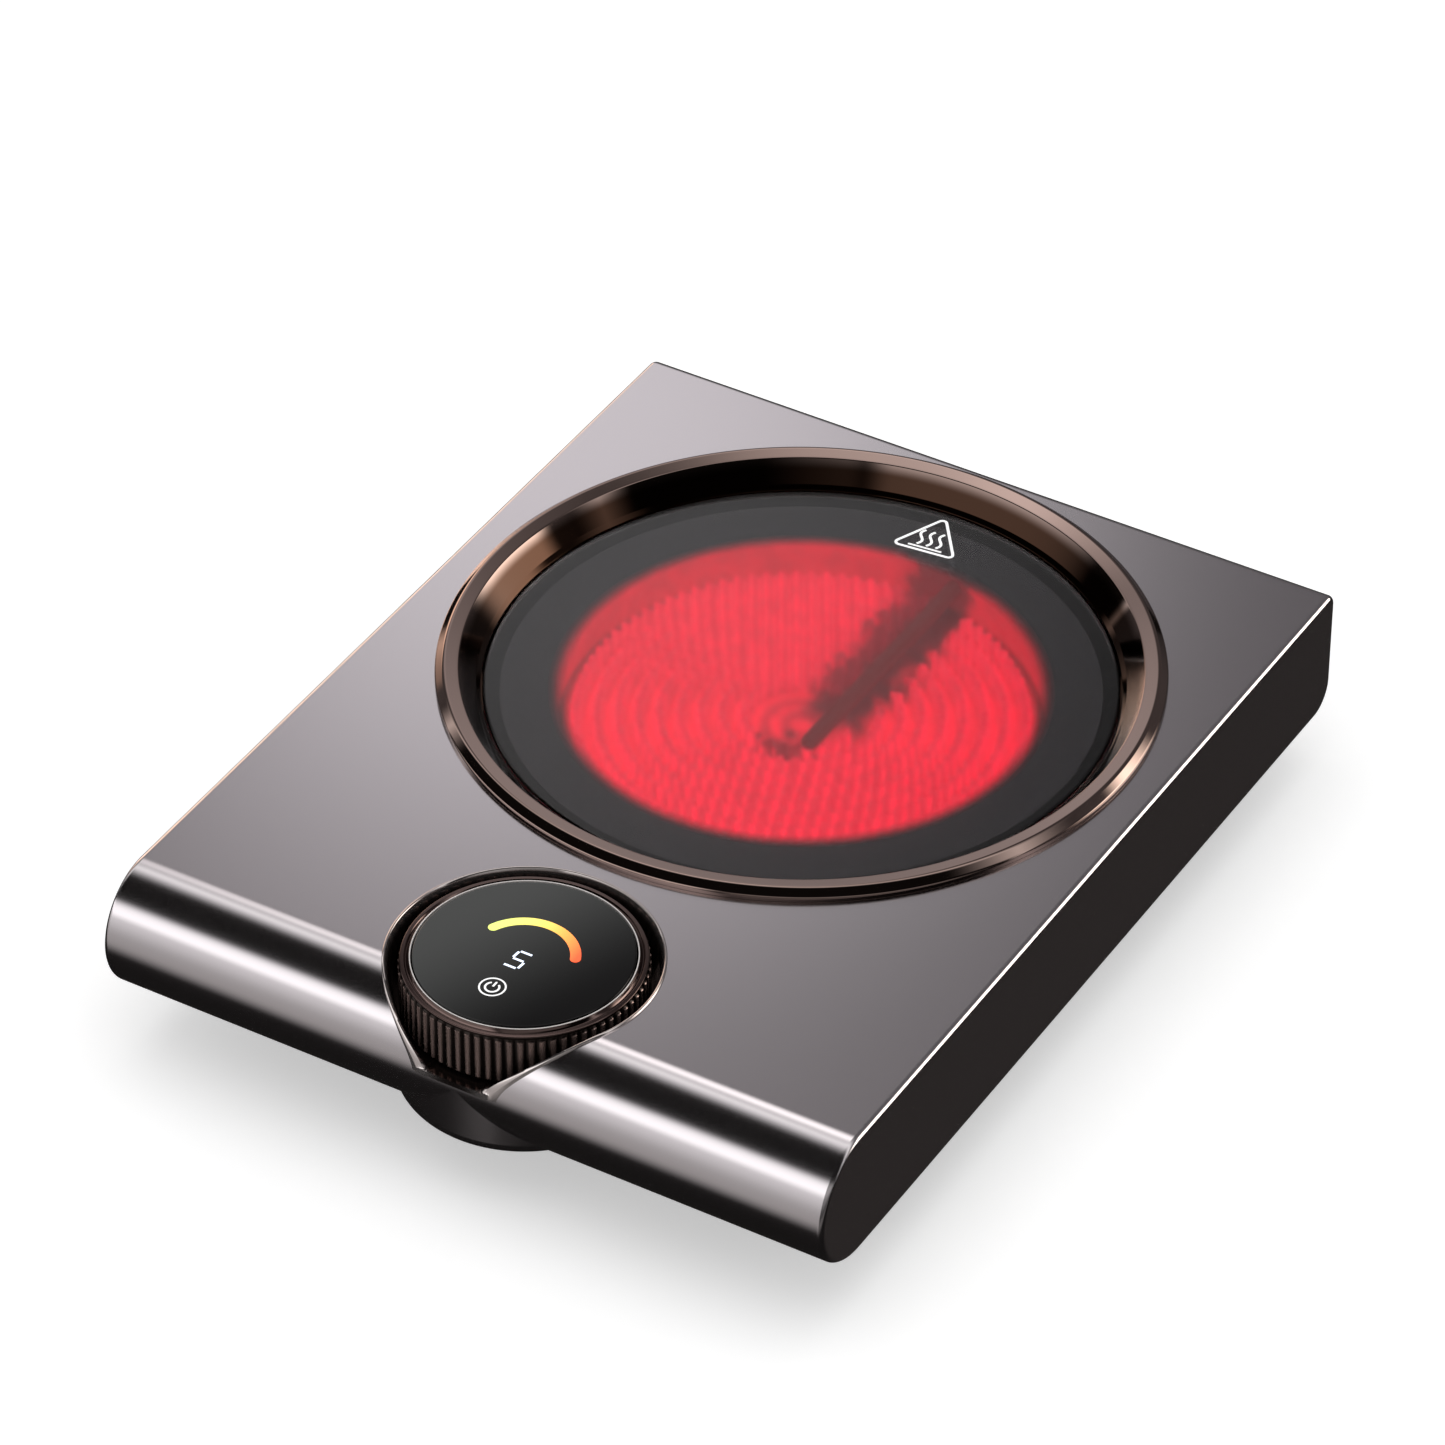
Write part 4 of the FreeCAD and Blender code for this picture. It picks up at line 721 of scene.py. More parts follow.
@dataclass(frozen=True)
class Ember(Lit):
    """A hot surface that cools towards its rim, with a painted shadow of the limiter's rod: a
    ragged dark strip under it and a dark spot at its near end.

    Attributes:
        centre: the zone's centre.
        hot_radius: radius inside which the surface is fully hot.
        cold_radius: radius past which it only glows dimly.
        dim: the light that is left in the cold places and in the painted shadow.
        strip_x: the middle of the painted shadow's strip.
        strip_half: half the painted shadow's width.
        strip_start: the painted shadow's near end along Y.
        wander: how far the strip's sides stray.
        rings: height of the light's ripple from turn to turn.
        pitch: distance from turn to turn.
    """

    centre: tuple[float, float] = (0.0, 0.0)
    hot_radius: float = 0.055
    cold_radius: float = 0.060
    dim: float = 0.1
    strip_x: float = 0.01
    strip_half: float = 0.0095
    strip_start: float = 0.005
    wander: float = 0.018
    rings: float = 0.0
    pitch: float = 0.0052

    def painted_rod_shadow(self, material: bpy.types.Material, x: bpy.types.NodeSocket,
                   y: bpy.types.NodeSocket, ragged: bpy.types.NodeSocket
                   ) -> bpy.types.NodeSocket:
        """Return the light left by the painted shadow of the rod: a strip whose sides wander with
        the noise, and a dark spot at its near end.

        Args:
            material: the material being made.
            x: place across.
            y: place along.
            ragged: a noise value.

        Returns:
            The share of light.
        """
        wander = self.maths(material, "MULTIPLY",
                            self.maths(material, "SUBTRACT", ragged, 0.5), self.wander)
        off = self.maths(material, "ABSOLUTE", self.maths(
            material, "ADD", self.maths(material, "SUBTRACT", x, self.strip_x), wander))
        beside = self.fade(material, off, self.strip_half * 0.45, self.strip_half * 1.35,
                           0.0, 1.0)
        before = self.fade(material, y, self.strip_start - 0.005, self.strip_start + 0.004,
                           1.0, 0.0)
        # Painted shadow: a dark spot at the strip's near end.
        spot_x = self.maths(material, "SUBTRACT", x, self.strip_x - 0.004)
        spot_y = self.maths(material, "SUBTRACT", y, self.strip_start - 0.016)
        away = self.maths(material, "SQRT", self.maths(
            material, "ADD", self.maths(material, "MULTIPLY", spot_x, spot_x),
            self.maths(material, "MULTIPLY", spot_y, spot_y)))
        spot = self.fade(material, self.maths(material, "ADD", away, wander), 0.0035, 0.0085,
                         0.0, 1.0)
        lit = self.maths(material, "MULTIPLY", spot,
                         self.maths(material, "MAXIMUM", beside, before))
        return self.maths(material, "MAXIMUM", lit, self.dim)

    def vary(self, material: bpy.types.Material, noise: bpy.types.Node,
             shader: bpy.types.Node) -> None:
        """Drive the light from the place on the zone, rippling a little from turn to turn,
        darkened by the painted shadow of the rod.

        Args:
            material: the material being made.
            noise: the noise node.
            shader: the Principled shader.
        """
        super().vary(material, noise, shader)
        x, y, _, radius = self.place(material, self.centre)
        hot = self.fade(material, radius, self.hot_radius, self.cold_radius, 1.0, self.dim)
        strip = self.painted_rod_shadow(material, x, y, noise.outputs["Fac"])
        phase = self.maths(material, "MULTIPLY", radius, 2 * math.pi / self.pitch)
        ripple = self.maths(material, "MULTIPLY_ADD",
                            self.maths(material, "SINE", phase), self.rings, 1.0)
        flicker = self.fade(material, noise.outputs["Fac"], 0.3, 0.7, 0.84, 1.08)
        light = self.maths(material, "MULTIPLY", hot, strip)
        for factor in (ripple, flicker, self.strength):
            light = self.maths(material, "MULTIPLY", light, factor)
        material.node_tree.links.new(light, shader.inputs["Emission Strength"])


HOUSING_METAL = Finish("housing_metal", (0.60, 0.573, 0.595), metallic=1.0, roughness=0.17,
                       spread=0.006, mottle=0.008, grain=2500, relief=0.0)
BEZEL_METAL = Finish("bezel_metal", (0.12, 0.085, 0.078), metallic=1.0, roughness=0.08,
                     spread=0.02, mottle=0.04, grain=500, relief=0.0)
# Painted highlight: a pale, mostly non-metal finish for the thin ring that stands for the glint
# on the bezel's inner edge.
PAINTED_HIGHLIGHT_EDGE = Finish("painted_highlight_edge", (0.85, 0.81, 0.79), metallic=0.25, roughness=0.3,
                     spread=0.02, mottle=0.03, grain=500, relief=0.0)
ZONE_GLASS = ClearGlass("zone_glass", (0.93, 0.90, 0.92), roughness=0.16, spread=0.01,
                        mottle=0.02, grain=500, relief=0.0, specular=0.4)
# The white print is given a faint light of its own: a painted glow on the print.
WHITE_PRINT_PAINTED_GLOW = Lit("white_print_painted_glow", (0.88, 0.88, 0.88), roughness=0.5, mottle=0.03,
                  light=(1.0, 1.0, 1.0), strength=0.4)
BLACK_PLASTIC = Finish("black_plastic", (0.018, 0.018, 0.019), roughness=0.42, grain=1800,
                       relief=0.00003)
TRAY_PAINT = Finish("tray_paint", (0.022, 0.021, 0.022), roughness=0.46, spread=0.08,
                    grain=2600, relief=0.00004)
RUBBER = Finish("rubber", (0.020, 0.020, 0.020), roughness=0.75, grain=1600, relief=0.00005)
STEEL = Finish("steel", (0.56, 0.56, 0.57), metallic=1.0, roughness=0.34, grain=900,
               stretch=(1.0, 0.08, 1.0))
ZINC = Finish("zinc", (0.62, 0.63, 0.66), metallic=1.0, roughness=0.32)
SPRING_STEEL = Finish("spring_steel", (0.34, 0.36, 0.42), metallic=1.0, roughness=0.28)
CERAMIC = Finish("ceramic", (0.82, 0.80, 0.76), roughness=0.55)
ACETAL = Finish("acetal", (0.80, 0.80, 0.77), roughness=0.38)
BOARD = Finish("board", (0.03, 0.16, 0.07), roughness=0.35, mottle=0.25, grain=500)
COPPER = Finish("copper", (0.75, 0.45, 0.22), metallic=1.0, roughness=0.3)
ALUMINIUM = Finish("aluminium", (0.72, 0.73, 0.74), metallic=1.0, roughness=0.3,
                   stretch=(1.0, 1.0, 0.05))
RELAY_BLUE = Finish("relay_blue", (0.03, 0.10, 0.36), roughness=0.3)
CAPACITOR_YELLOW = Finish("capacitor_yellow", (0.74, 0.52, 0.06), roughness=0.3)
FERRITE = Finish("ferrite", (0.10, 0.10, 0.11), roughness=0.6)
TERMINAL_GREEN = Finish("terminal_green", (0.05, 0.33, 0.12), roughness=0.35)
NICKEL = Finish("nickel", (0.74, 0.71, 0.66), metallic=1.0, roughness=0.22)

NODE_FINISHES = {
    "base_tray": TRAY_PAINT, "base_screws": ZINC, "ring_screws": ZINC, "well_screws": ZINC,
    "board_screws": ZINC, "fan_screws": ZINC, "glass_gasket": RUBBER, "heater_dish": STEEL,
    "limiter_switch": CERAMIC, "heater_terminal_block": CERAMIC, "heater_springs": SPRING_STEEL,
    "knob_bracket": STEEL, "knob_bush": ACETAL, "knob_clip": SPRING_STEEL, "knob_gear": ACETAL,
    "encoder_pinion": ACETAL, "encoder_body": BLACK_PLASTIC, "encoder_board": BOARD,
    "display_post": STEEL, "display_carrier": BLACK_PLASTIC, "display_board": BOARD,
    "digit_display": BLACK_PLASTIC, "light_guide": ACETAL, "touch_electrode": COPPER,
    "power_board": BOARD, "board_standoffs": STEEL, "heatsink": ALUMINIUM,
    "triac": BLACK_PLASTIC, "relay": RELAY_BLUE, "filter_capacitor": CAPACITOR_YELLOW,
    "filter_choke": FERRITE, "screw_terminal": TERMINAL_GREEN, "mains_fuse": CERAMIC,
    "fan_frame": BLACK_PLASTIC, "fan_rotor": BLACK_PLASTIC, "power_inlet": BLACK_PLASTIC,
    "inlet_pins": NICKEL,
}


def settle(piece: bpy.types.Object, finish: Finish, body: Part, slot: str,
           *nodes: str) -> None:
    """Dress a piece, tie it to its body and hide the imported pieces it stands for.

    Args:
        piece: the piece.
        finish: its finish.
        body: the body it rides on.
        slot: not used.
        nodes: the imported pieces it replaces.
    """
    piece.data.materials.clear()
    piece.data.materials.append(finish.material())
    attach(piece, body.value)
    if nodes:
        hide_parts(*nodes)
    LOG.info("%s: %d faces on %s", piece.name, len(piece.data.polygons), body.value)


# ---------------------------------------------------------------- layout

@dataclass(frozen=True)
class Layout:
    """Places that several pieces share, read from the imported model, in metres."""

    shell: tuple[Vector, Vector] = field(default_factory=lambda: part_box("upper_shell"))
    ring: tuple[Vector, Vector] = field(default_factory=lambda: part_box("trim_ring"))
    glass: tuple[Vector, Vector] = field(default_factory=lambda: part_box("glass_plate"))
    knob: tuple[Vector, Vector] = field(default_factory=lambda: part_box("knob_ring"))
    well: tuple[Vector, Vector] = field(default_factory=lambda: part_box("knob_well"))
    lens: tuple[Vector, Vector] = field(default_factory=lambda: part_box("display_lens"))

    @property
    def zone(self) -> tuple[float, float]:
        """The cooking zone's centre."""
        return 0.0, (self.glass[0].y + self.glass[1].y) / 2

    @property
    def dial(self) -> tuple[float, float]:
        """The knob's axis."""
        return 0.0, (self.lens[0].y + self.lens[1].y) / 2

    @property
    def panel(self) -> float:
        """The panel's height."""
        return self.shell[1].z


# ---------------------------------------------------------------- housing

@dataclass
class Housing:
    """The polished housing with its rounded nose and belly.

    Attributes:
        layout: the shared places.
        edge: rounding of the side edges.
        heel: rounding of the lower back edge.
        brow: rounding of the upper back edge.
        wall: the sheet's thickness.
        belly_radius: the belly's radius.
        belly_edge: rounding of the belly's lower edge.
    """

    layout: Layout
    edge: float = 1.6 * MM
    heel: float = 8 * MM
    brow: float = 3 * MM
    wall: float = 2 * MM
    belly_radius: float = 31.8 * MM
    belly_edge: float = 4 * MM

    def side_view(self, inset: float) -> np.ndarray:
        """Return the closed side outline (y, z): nose half-round, heel and brow arcs.

        Args:
            inset: how far inside the outer surface the outline runs.

        Returns:
            The outline's points.
        """
        low, high = self.layout.shell
        front, back = low.y + inset, high.y - inset
        bottom, top = low.z + inset, high.z - inset
        reach = (top - bottom) / 2
        heel, brow = self.heel - inset, self.brow - inset
        return np.concatenate([
            arc_points((back - heel, bottom + heel), heel, -90, 0, 16),
            arc_points((back - brow, top - brow), brow, 0, 90, 10),
            arc_points((front + reach, bottom + reach), reach, 90, 270, 96)])

    def block(self, name: str, inset: float, edge: float) -> bpy.types.Object:
        """Carry the side outline across, drawing it in along quarter arcs at both ends.

        Args:
            name: the mesh's name.
            inset: how far inside the outer surface the block lies.
            edge: rounding of the side edges.

        Returns:
            The block.
        """
        outline = self.side_view(inset)
        ahead = np.roll(outline, -1, 0) - np.roll(outline, 1, 0)
        normal = np.stack([ahead[:, 1], -ahead[:, 0]], 1)
        normal /= np.linalg.norm(normal, axis=1, keepdims=True)
        half = self.layout.shell[1].x - inset
        turn = np.radians(np.linspace(0, 90, 8)) if edge else np.zeros(1)
        draw = edge * (1 - np.cos(turn))
        reach = half - edge + edge * np.sin(turn)
        draw = np.concatenate([draw[::-1], draw])
        reach = np.concatenate([-reach[::-1], reach])
        flat = outline[None] - normal[None] * draw[:, None, None]
        points = np.concatenate([np.broadcast_to(reach[:, None, None], (*flat.shape[:2], 1)),
                                 flat], -1)
        return loft(name, points)

    def drum(self, name: str, inset: float, top: float) -> bpy.types.Object:
        """Turn the belly, or the room inside it.

        Args:
            name: the mesh's name.
            inset: how far inside the outer surface it lies.
            top: its upper face's height.

        Returns:
            The drum.
        """
        radius = self.belly_radius - inset
        edge = self.belly_edge - inset
        bottom = self.layout.shell[0].z + inset
        profile = np.concatenate([[[0, bottom]],
                                  arc_points((radius - edge, bottom + edge), edge, -90, 0, 12),
                                  [[radius, top], [0, top]]])
        return lathe(name, profile, self.layout.dial, 256, closed=False)

    def plug(self, name: str, centre: tuple[float, float], radius: float, low: float,
             high: float) -> bpy.types.Object:
        """Make an upright cylinder that cuts a round opening.

        Args:
            name: the mesh's name.
            centre: the cylinder's axis.
            radius: its radius.
            low: its lower end.
            high: its upper end.

        Returns:
            The cylinder.
        """
        ring = arc_points(centre, radius, 0, 360, 256)[:-1]
        return solid_prism(name, ring, low, high)

    def brick(self, name: str, low: Colour, high: Colour) -> bpy.types.Object:
        """Make a box that cuts a window.

        Args:
            name: the mesh's name.
            low: its lowest corner.
            high: its highest corner.

        Returns:
            The box.
        """
        outline = np.array([[low[0], low[1]], [high[0], low[1]], [high[0], high[1]],
                            [low[0], high[1]]])
        return solid_prism(name, outline, low[2], high[2])

    def openings(self) -> bpy.types.Object:
        """Return the cutter for the well, the zone, the tray, the inlet and the slots."""
        low, high = self.layout.shell
        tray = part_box("base_tray")
        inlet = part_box("power_inlet")
        rim = 6 * MM
        neck = (self.layout.ring[1].x - 5 * MM)
        cutters = [
            self.plug("well_plug", self.layout.dial, self.layout.well[1].x,
                      self.layout.panel - 16 * MM, high.z + rim),
            self.plug("zone_plug", self.layout.zone, neck, high.z - 3 * MM, high.z + rim),
            self.brick("tray_brick", (tray[0].x + rim, tray[0].y + rim, low.z - rim / 3),
                       (tray[1].x - rim, tray[1].y - rim, low.z + self.wall + 0.4 * MM)),
            self.brick("inlet_brick", (inlet[0].x + 2 * MM, high.y - 3 * MM, inlet[0].z),
                       (inlet[1].x - 2 * MM, high.y + rim, inlet[1].z))]
        middle = (inlet[0].z + inlet[1].z) / 2
        for index in range(11):
            left = (-66 + 6 * index) * MM
            cutters.append(self.brick(f"slot_{index}", (left, high.y - 3 * MM, middle - 7 * MM),
                                      (left + 2.6 * MM, high.y + rim, middle + 7 * MM)))
        return merged("openings", cutters)

    def true_normals(self, piece: bpy.types.Object) -> None:
        """Give each face corner the true surface's normal.

        The candidates are the side view's normal tipped towards X over the side rounding,
        the belly's, the well's and the zone opening's. A corner takes the one nearest to its
        face, and keeps the face's own where none is near.

        Args:
            piece: the housing's mesh.
        """
        mesh = piece.data
        mesh.shade_smooth()
        where = np.empty(len(mesh.vertices) * 3)
        mesh.vertices.foreach_get("co", where)
        corner = np.empty(len(mesh.loops), int)
        mesh.loops.foreach_get("vertex_index", corner)
        total = np.empty(len(mesh.polygons), int)
        mesh.polygons.foreach_get("loop_total", total)
        flat = np.empty(len(mesh.polygons) * 3)
        mesh.polygons.foreach_get("normal", flat)
        face = np.repeat(flat.reshape(-1, 3), total, 0)
        point = where.reshape(-1, 3)[corner]
        choices = [self.side_normal(point, face), self.belly_normal(point)]
        for centre in (self.layout.dial, self.layout.zone):
            away = np.column_stack([centre[0] - point[:, 0], centre[1] - point[:, 1],
                                    np.zeros(len(point))])
            choices.append(away)
        best = face.copy()
        closest = np.full(len(point), 0.93)
        for choice in choices:
            unit = choice / np.maximum(np.linalg.norm(choice, axis=1, keepdims=True), 1e-9)
            agree = np.einsum("ij,ij->i", unit, face)
            wins = agree > closest
            best[wins] = unit[wins]
            closest[wins] = agree[wins]
        mesh.normals_split_custom_set(best.tolist())

    def side_normal(self, point: np.ndarray, face: np.ndarray) -> np.ndarray:
        """Return the normal of the side view's surface, tipped over at the side rounding.

        Args:
            point: positions.
            face: the normals of their faces, which tell flat stretches apart.

        Returns:
            One normal a position.
        """
        low, high = self.layout.shell
        reach = (high.z - low.z) / 2
        y, z = point[:, 1], point[:, 2]
        up = np.where(np.abs(face[:, 2:3]) > np.abs(face[:, 1:2]),
                      np.column_stack([np.zeros(len(y)), np.sign(face[:, 2])]),
                      np.column_stack([np.sign(face[:, 1]), np.zeros(len(y))]))
        rounds = ((y < low.y + reach, low.y + reach, low.z + reach),
                  ((y > high.y - self.brow) & (z > high.z - self.brow), high.y - self.brow,
                   high.z - self.brow),
                  ((y > high.y - self.heel) & (z < low.z + self.heel), high.y - self.heel,
                   low.z + self.heel))
        for inside, centre_y, centre_z in rounds:
            away = np.column_stack([y - centre_y, z - centre_z])
            away /= np.maximum(np.linalg.norm(away, axis=1, keepdims=True), 1e-9)
            up = np.where(inside[:, None], away, up)
        lean = np.clip((np.abs(point[:, 0]) - (high.x - self.edge)) / self.edge, 0, 1)
        upright = np.sqrt(1 - lean ** 2)[:, None] * up
        return np.column_stack([lean * np.sign(point[:, 0]), upright])

    def belly_normal(self, point: np.ndarray) -> np.ndarray:
        """Return the normal of the belly's wall and rounded lower edge.

        Args:
            point: positions.

        Returns:
            One normal a position.
        """
        away = point[:, :2] - np.array(self.layout.dial)
        radius = np.maximum(np.linalg.norm(away, axis=1), 1e-9)
        out = np.maximum(radius - (self.belly_radius - self.belly_edge), 0)
        drop = np.minimum(point[:, 2] - (self.layout.shell[0].z + self.belly_edge), 0)
        return np.column_stack([away / radius[:, None] * out[:, None], drop])

    def build(self) -> None:
        """Make the housing: block and belly, hollowed, with its openings."""
        middle = (self.layout.shell[0].z + self.layout.shell[1].z) / 2
        shell = self.block("housing_shell", 0.0, self.edge)
        boolean(shell, self.drum("belly", 0.0, middle), "UNION")
        boolean(shell, self.block("hollow", self.wall, 0.0), "DIFFERENCE")
        boolean(shell, self.drum("belly_hollow", self.wall, self.layout.panel - 16 * MM),
                "DIFFERENCE")
        boolean(shell, self.openings(), "DIFFERENCE")
        self.true_normals(shell)
        settle(shell, HOUSING_METAL, Part.HOUSING, "housing_metal", "upper_shell")


@dataclass
class Feet:
    """Four rubber feet."""

    radius: float = 9.0

    def build(self) -> None:
        """Turn one foot profile at each corner."""
        low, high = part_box("rubber_feet")
        reach = self.radius * MM
        profile = rounded([(0, 0), (self.radius - 1.2, 0, 0.6), (self.radius, 2.2, 0.5),
                           (self.radius, 4, 0.2), (0, 4)], closed=False)
        feet = [lathe(f"foot_{x}_{y}", profile, (x, y), 64, closed=False)
                for x in (low.x + reach, high.x - reach) for y in (low.y + reach, high.y - reach)]
        settle(merged("feet", feet), RUBBER, Part.HOUSING, "rubber", "rubber_feet")


# ---------------------------------------------------------------- cooking zone

@dataclass
class CookingZone:
    """The trim ring, the glass and the glowing heater under it.

    Attributes:
        layout: the shared places.
        turns: turns of the heating ribbon.
        pitch: distance between turns, in millimetres.
        waves: ribbon waves per metre of its length.
        first_turn: radius of the innermost turn, in millimetres.
        wave_height: how far a wave stands out, in millimetres.
        rod_gap: room left on each side of the rod, in millimetres.
        print_lap: how far the print reaches in over the heater's rim, in millimetres.
        print_fade: width of the print's soft inner edge, in millimetres.
        mark_place: the heat mark's middle from the zone's centre, in millimetres.
        mark_lean: the heat mark's turn, in degrees.
    """

    layout: Layout
    turns: int = 9
    pitch: float = 5.2
    waves: float = 260.0
    first_turn: float = 14.6
    wave_height: float = 1.15
    rod_gap: float = 6.2
    print_lap: float = 11.5
    print_fade: float = 6.5
    mark_place: tuple[float, float] = (-1.1, 67.6)
    mark_lean: float = 6.0

    def build(self) -> None:
        """Build the zone from the ring inwards."""
        self.ring()
        self.glass()
        self.insulation()
        self.ribbon()
        self.limiter()
        self.heat_mark()

    def ring(self) -> None:
        """The ring: a rounded bead outside, a land leaning inwards and a sloping inner wall."""
        out = self.layout.ring[1].x / MM
        panel = self.layout.panel / MM
        top = self.layout.ring[1].z / MM
        glass = self.layout.glass[1].z / MM
        bore = self.layout.glass[1].x / MM + 0.4
        profile = rounded([
            (bore - 5.7, glass - 6.2), (bore + 2, glass - 6.2), (bore + 2, glass - 2.5),
            (out - 5.3, panel - 2.5), (out - 5.3, panel), (out, panel, 0.1),
            (out, panel + 1.3, 0.9), (out - 2.2, top, 1.3), (out - 5.9, top - 0.7, 0.45),
            (bore + 1.1, glass + 0.9, 0.5), (bore, glass - 0.2, 0.3), (bore, glass - 4.6),
            (bore - 5.7, glass - 4.6)], steps=9)
        piece = lathe("ring_trim", profile, self.layout.zone, 320)
        # Painted shade: the inner wall and the inner edge of the land are near black, the outer
        # land and the bead lighter.
        chrome_with_painted_light = RadialPaintedLightAndPrint("ring_metal_painted_shade", (0.27, 0.20, 0.178), metallic=1.0, roughness=0.06,
                         spread=0.02, grain=300, relief=0.0, centre=self.layout.zone,
                         inner=(0.04, 0.021, 0.014), near=(bore + 3.5) * MM,
                         far=(bore + 6.2) * MM)
        settle(piece, chrome_with_painted_light, Part.HOUSING, "ring_chrome", "trim_ring")

    def glass(self) -> None:
        """The glass plate, and the dark print on its underside round the heater."""
        low, high = self.layout.glass
        radius = high.x / MM
        under, top = low.z / MM, high.z / MM
        plate = lathe("zone_plate", rounded([
            (0, under), (radius, under, 0.5), (radius, top, 0.8), (0, top)], closed=False),
            self.layout.zone, 256, closed=False)
        settle(plate, ZONE_GLASS, Part.HOUSING, "glass_ceramic", "glass_plate")
        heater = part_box("insulation_rim")[1].x / MM - self.print_lap
        ring = np.array([(heater, under - 0.05), (radius - 0.3, under - 0.05),
                         (radius - 0.3, under - 0.25), (heater, under - 0.25)]) * MM
        band = lathe("zone_print", ring, self.layout.zone, 256)
        frit = SoftPrint("zone_print", (0.006, 0.006, 0.010), roughness=0.6, grain=1200,
                         relief=0.0, specular=0.1, centre=self.layout.zone,
                         inner=(0.004, 0.004, 0.006), near=(heater + 0.2) * MM,
                         far=(heater + self.print_fade) * MM)
        settle(band, frit, Part.HOUSING, "glass_ceramic")

    def ember(self, name: str, colour: Colour, light: Colour, strength: float, dim: float,
              hot: float, cold: float) -> Ember:
        """Return a glowing finish centred on the zone.

        Args:
            name: the finish's name.
            colour: base colour.
            light: colour of the light.
            strength: strength of the light.
            dim: light left in the cold places.
            hot: radius of the fully hot part, in millimetres.
            cold: radius past which it is dim, in millimetres.

        Returns:
            The finish.
        """
        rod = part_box("limiter_rod")
        # The painted shadow of the rod lies 4 mm to its left.
        return Ember(name, colour, roughness=0.8, grain=200, relief=0.00005, light=light,
                     strength=strength, centre=self.layout.zone, hot_radius=hot * MM,
                     cold_radius=cold * MM, dim=dim, strip_x=(rod[0].x + rod[1].x) / 2 - 0.004,
                     rings=0.3, pitch=self.pitch * MM)

    def insulation(self) -> None:
        """The fibrous floor, hot under the ribbon, and the cooler rim round it, which is given a
        painted glow that stands for the ribbon's light falling on it.
        """
        floor_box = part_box("heater_insulation")
        rim_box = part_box("insulation_rim")
        radius = floor_box[1].x
        inner = rim_box[1].x - 8 * MM
        floor_profile = np.array([(0, floor_box[0].z), (radius, floor_box[0].z),
                                  (radius, floor_box[1].z), (inner, floor_box[1].z),
                                  (inner * 0.5, floor_box[1].z), (0, floor_box[1].z)])
        floor = lathe("heater_floor", floor_profile, self.layout.zone, 160, closed=False)
        settle(floor, self.ember("hot_floor", (0.16, 0.012, 0.018), (0.95, 0.002, 0.028), 0.88,
                                 0.07, 56, 61),
               Part.HOUSING, "insulation", "heater_insulation")
        low, high = rim_box[0].z / MM, rim_box[1].z / MM - 0.5
        rim = lathe("heater_rim", rounded([
            (inner / MM, low), (radius / MM, low), (radius / MM, high, 1.0),
            (inner / MM, high - 0.3, 1.5)]), self.layout.zone, 192)
        # Painted glow: the rim gives nearly the floor's light, standing in for the ribbon's red
        # light on it.
        settle(rim, self.ember("rim_painted_glow", (0.14, 0.010, 0.018), (1.0, 0.005, 0.03), 0.85,
                               0.25, 90, 100),
               Part.HOUSING, "insulation", "insulation_rim")

    def ribbon(self) -> None:
        """The corrugated ribbon: turns of radius r + a sin(waves s), upright, open at the rod."""
        low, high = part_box("heating_ribbon")
        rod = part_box("limiter_rod")
        strip_x = (rod[0].x + rod[1].x) / 2
        gap = self.rod_gap * MM
        coils = []
        for index in range(self.turns):
            radius = (self.first_turn + self.pitch * index) * MM
            left = math.acos(np.clip((strip_x - gap) / radius, -1, 1))
            right = math.acos(np.clip((strip_x + gap) / radius, -1, 1))
            count = int(radius * 2 * np.pi / (0.7 * MM))
            turn = np.linspace(left, right + 2 * np.pi, count)
            wave = self.wave_height * MM * np.sin(turn * radius * self.waves * 2 * np.pi + index)
            middle = radius + wave
            rings = []
            for offset, z in ((-0.22, low.z), (0.22, low.z), (0.22, high.z), (-0.22, high.z)):
                r = middle + offset * MM
                rings.append(np.column_stack([self.layout.zone[0] + r * np.cos(turn),
                                              self.layout.zone[1] + r * np.sin(turn),
                                              np.full(count, z)]))
            coils.append(loft(f"coil_{index}", np.stack(rings, 1)))
        piece = merged("glow_ribbon", coils)
        settle(piece, self.ember("hot_ribbon", (0.20, 0.015, 0.03), (1.0, 0.010, 0.045), 1.05,
                                 0.22, 70, 80),
               Part.HOUSING, "heating_alloy", "heating_ribbon")

    def limiter(self) -> None:
        """The limiter's rod: a round tube with a domed near end."""
        low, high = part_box("limiter_rod")
        radius = (high.z - low.z) / 2
        centre_x, centre_z = (low.x + high.x) / 2, (low.z + high.z) / 2
        dome = np.radians(np.linspace(0, 90, 9))[1:]
        along = np.concatenate([[low.y], low.y + radius * (1 - np.cos(dome)), [high.y]])
        wide = np.concatenate([[radius * 0.02], radius * np.sin(dome), [radius]])
        turn = np.linspace(0, 2 * np.pi, 48, endpoint=False)
        points = np.stack([centre_x + wide[:, None] * np.cos(turn),
                           np.broadcast_to(along[:, None], (len(along), 48)),
                           centre_z + wide[:, None] * np.sin(turn)], -1)
        rod = loft("limiter_tube", points)
        # Painted glow: the rod is given a faint red light of its own, standing in for the
        # heater's light on it.
        tube = Lit("limiter_tube", (0.05, 0.015, 0.015), roughness=0.6, specular=0.2,
                   light=(1.0, 0.02, 0.03), strength=0.11)
        settle(rod, tube, Part.HOUSING, "limiter_tube", "limiter_rod")

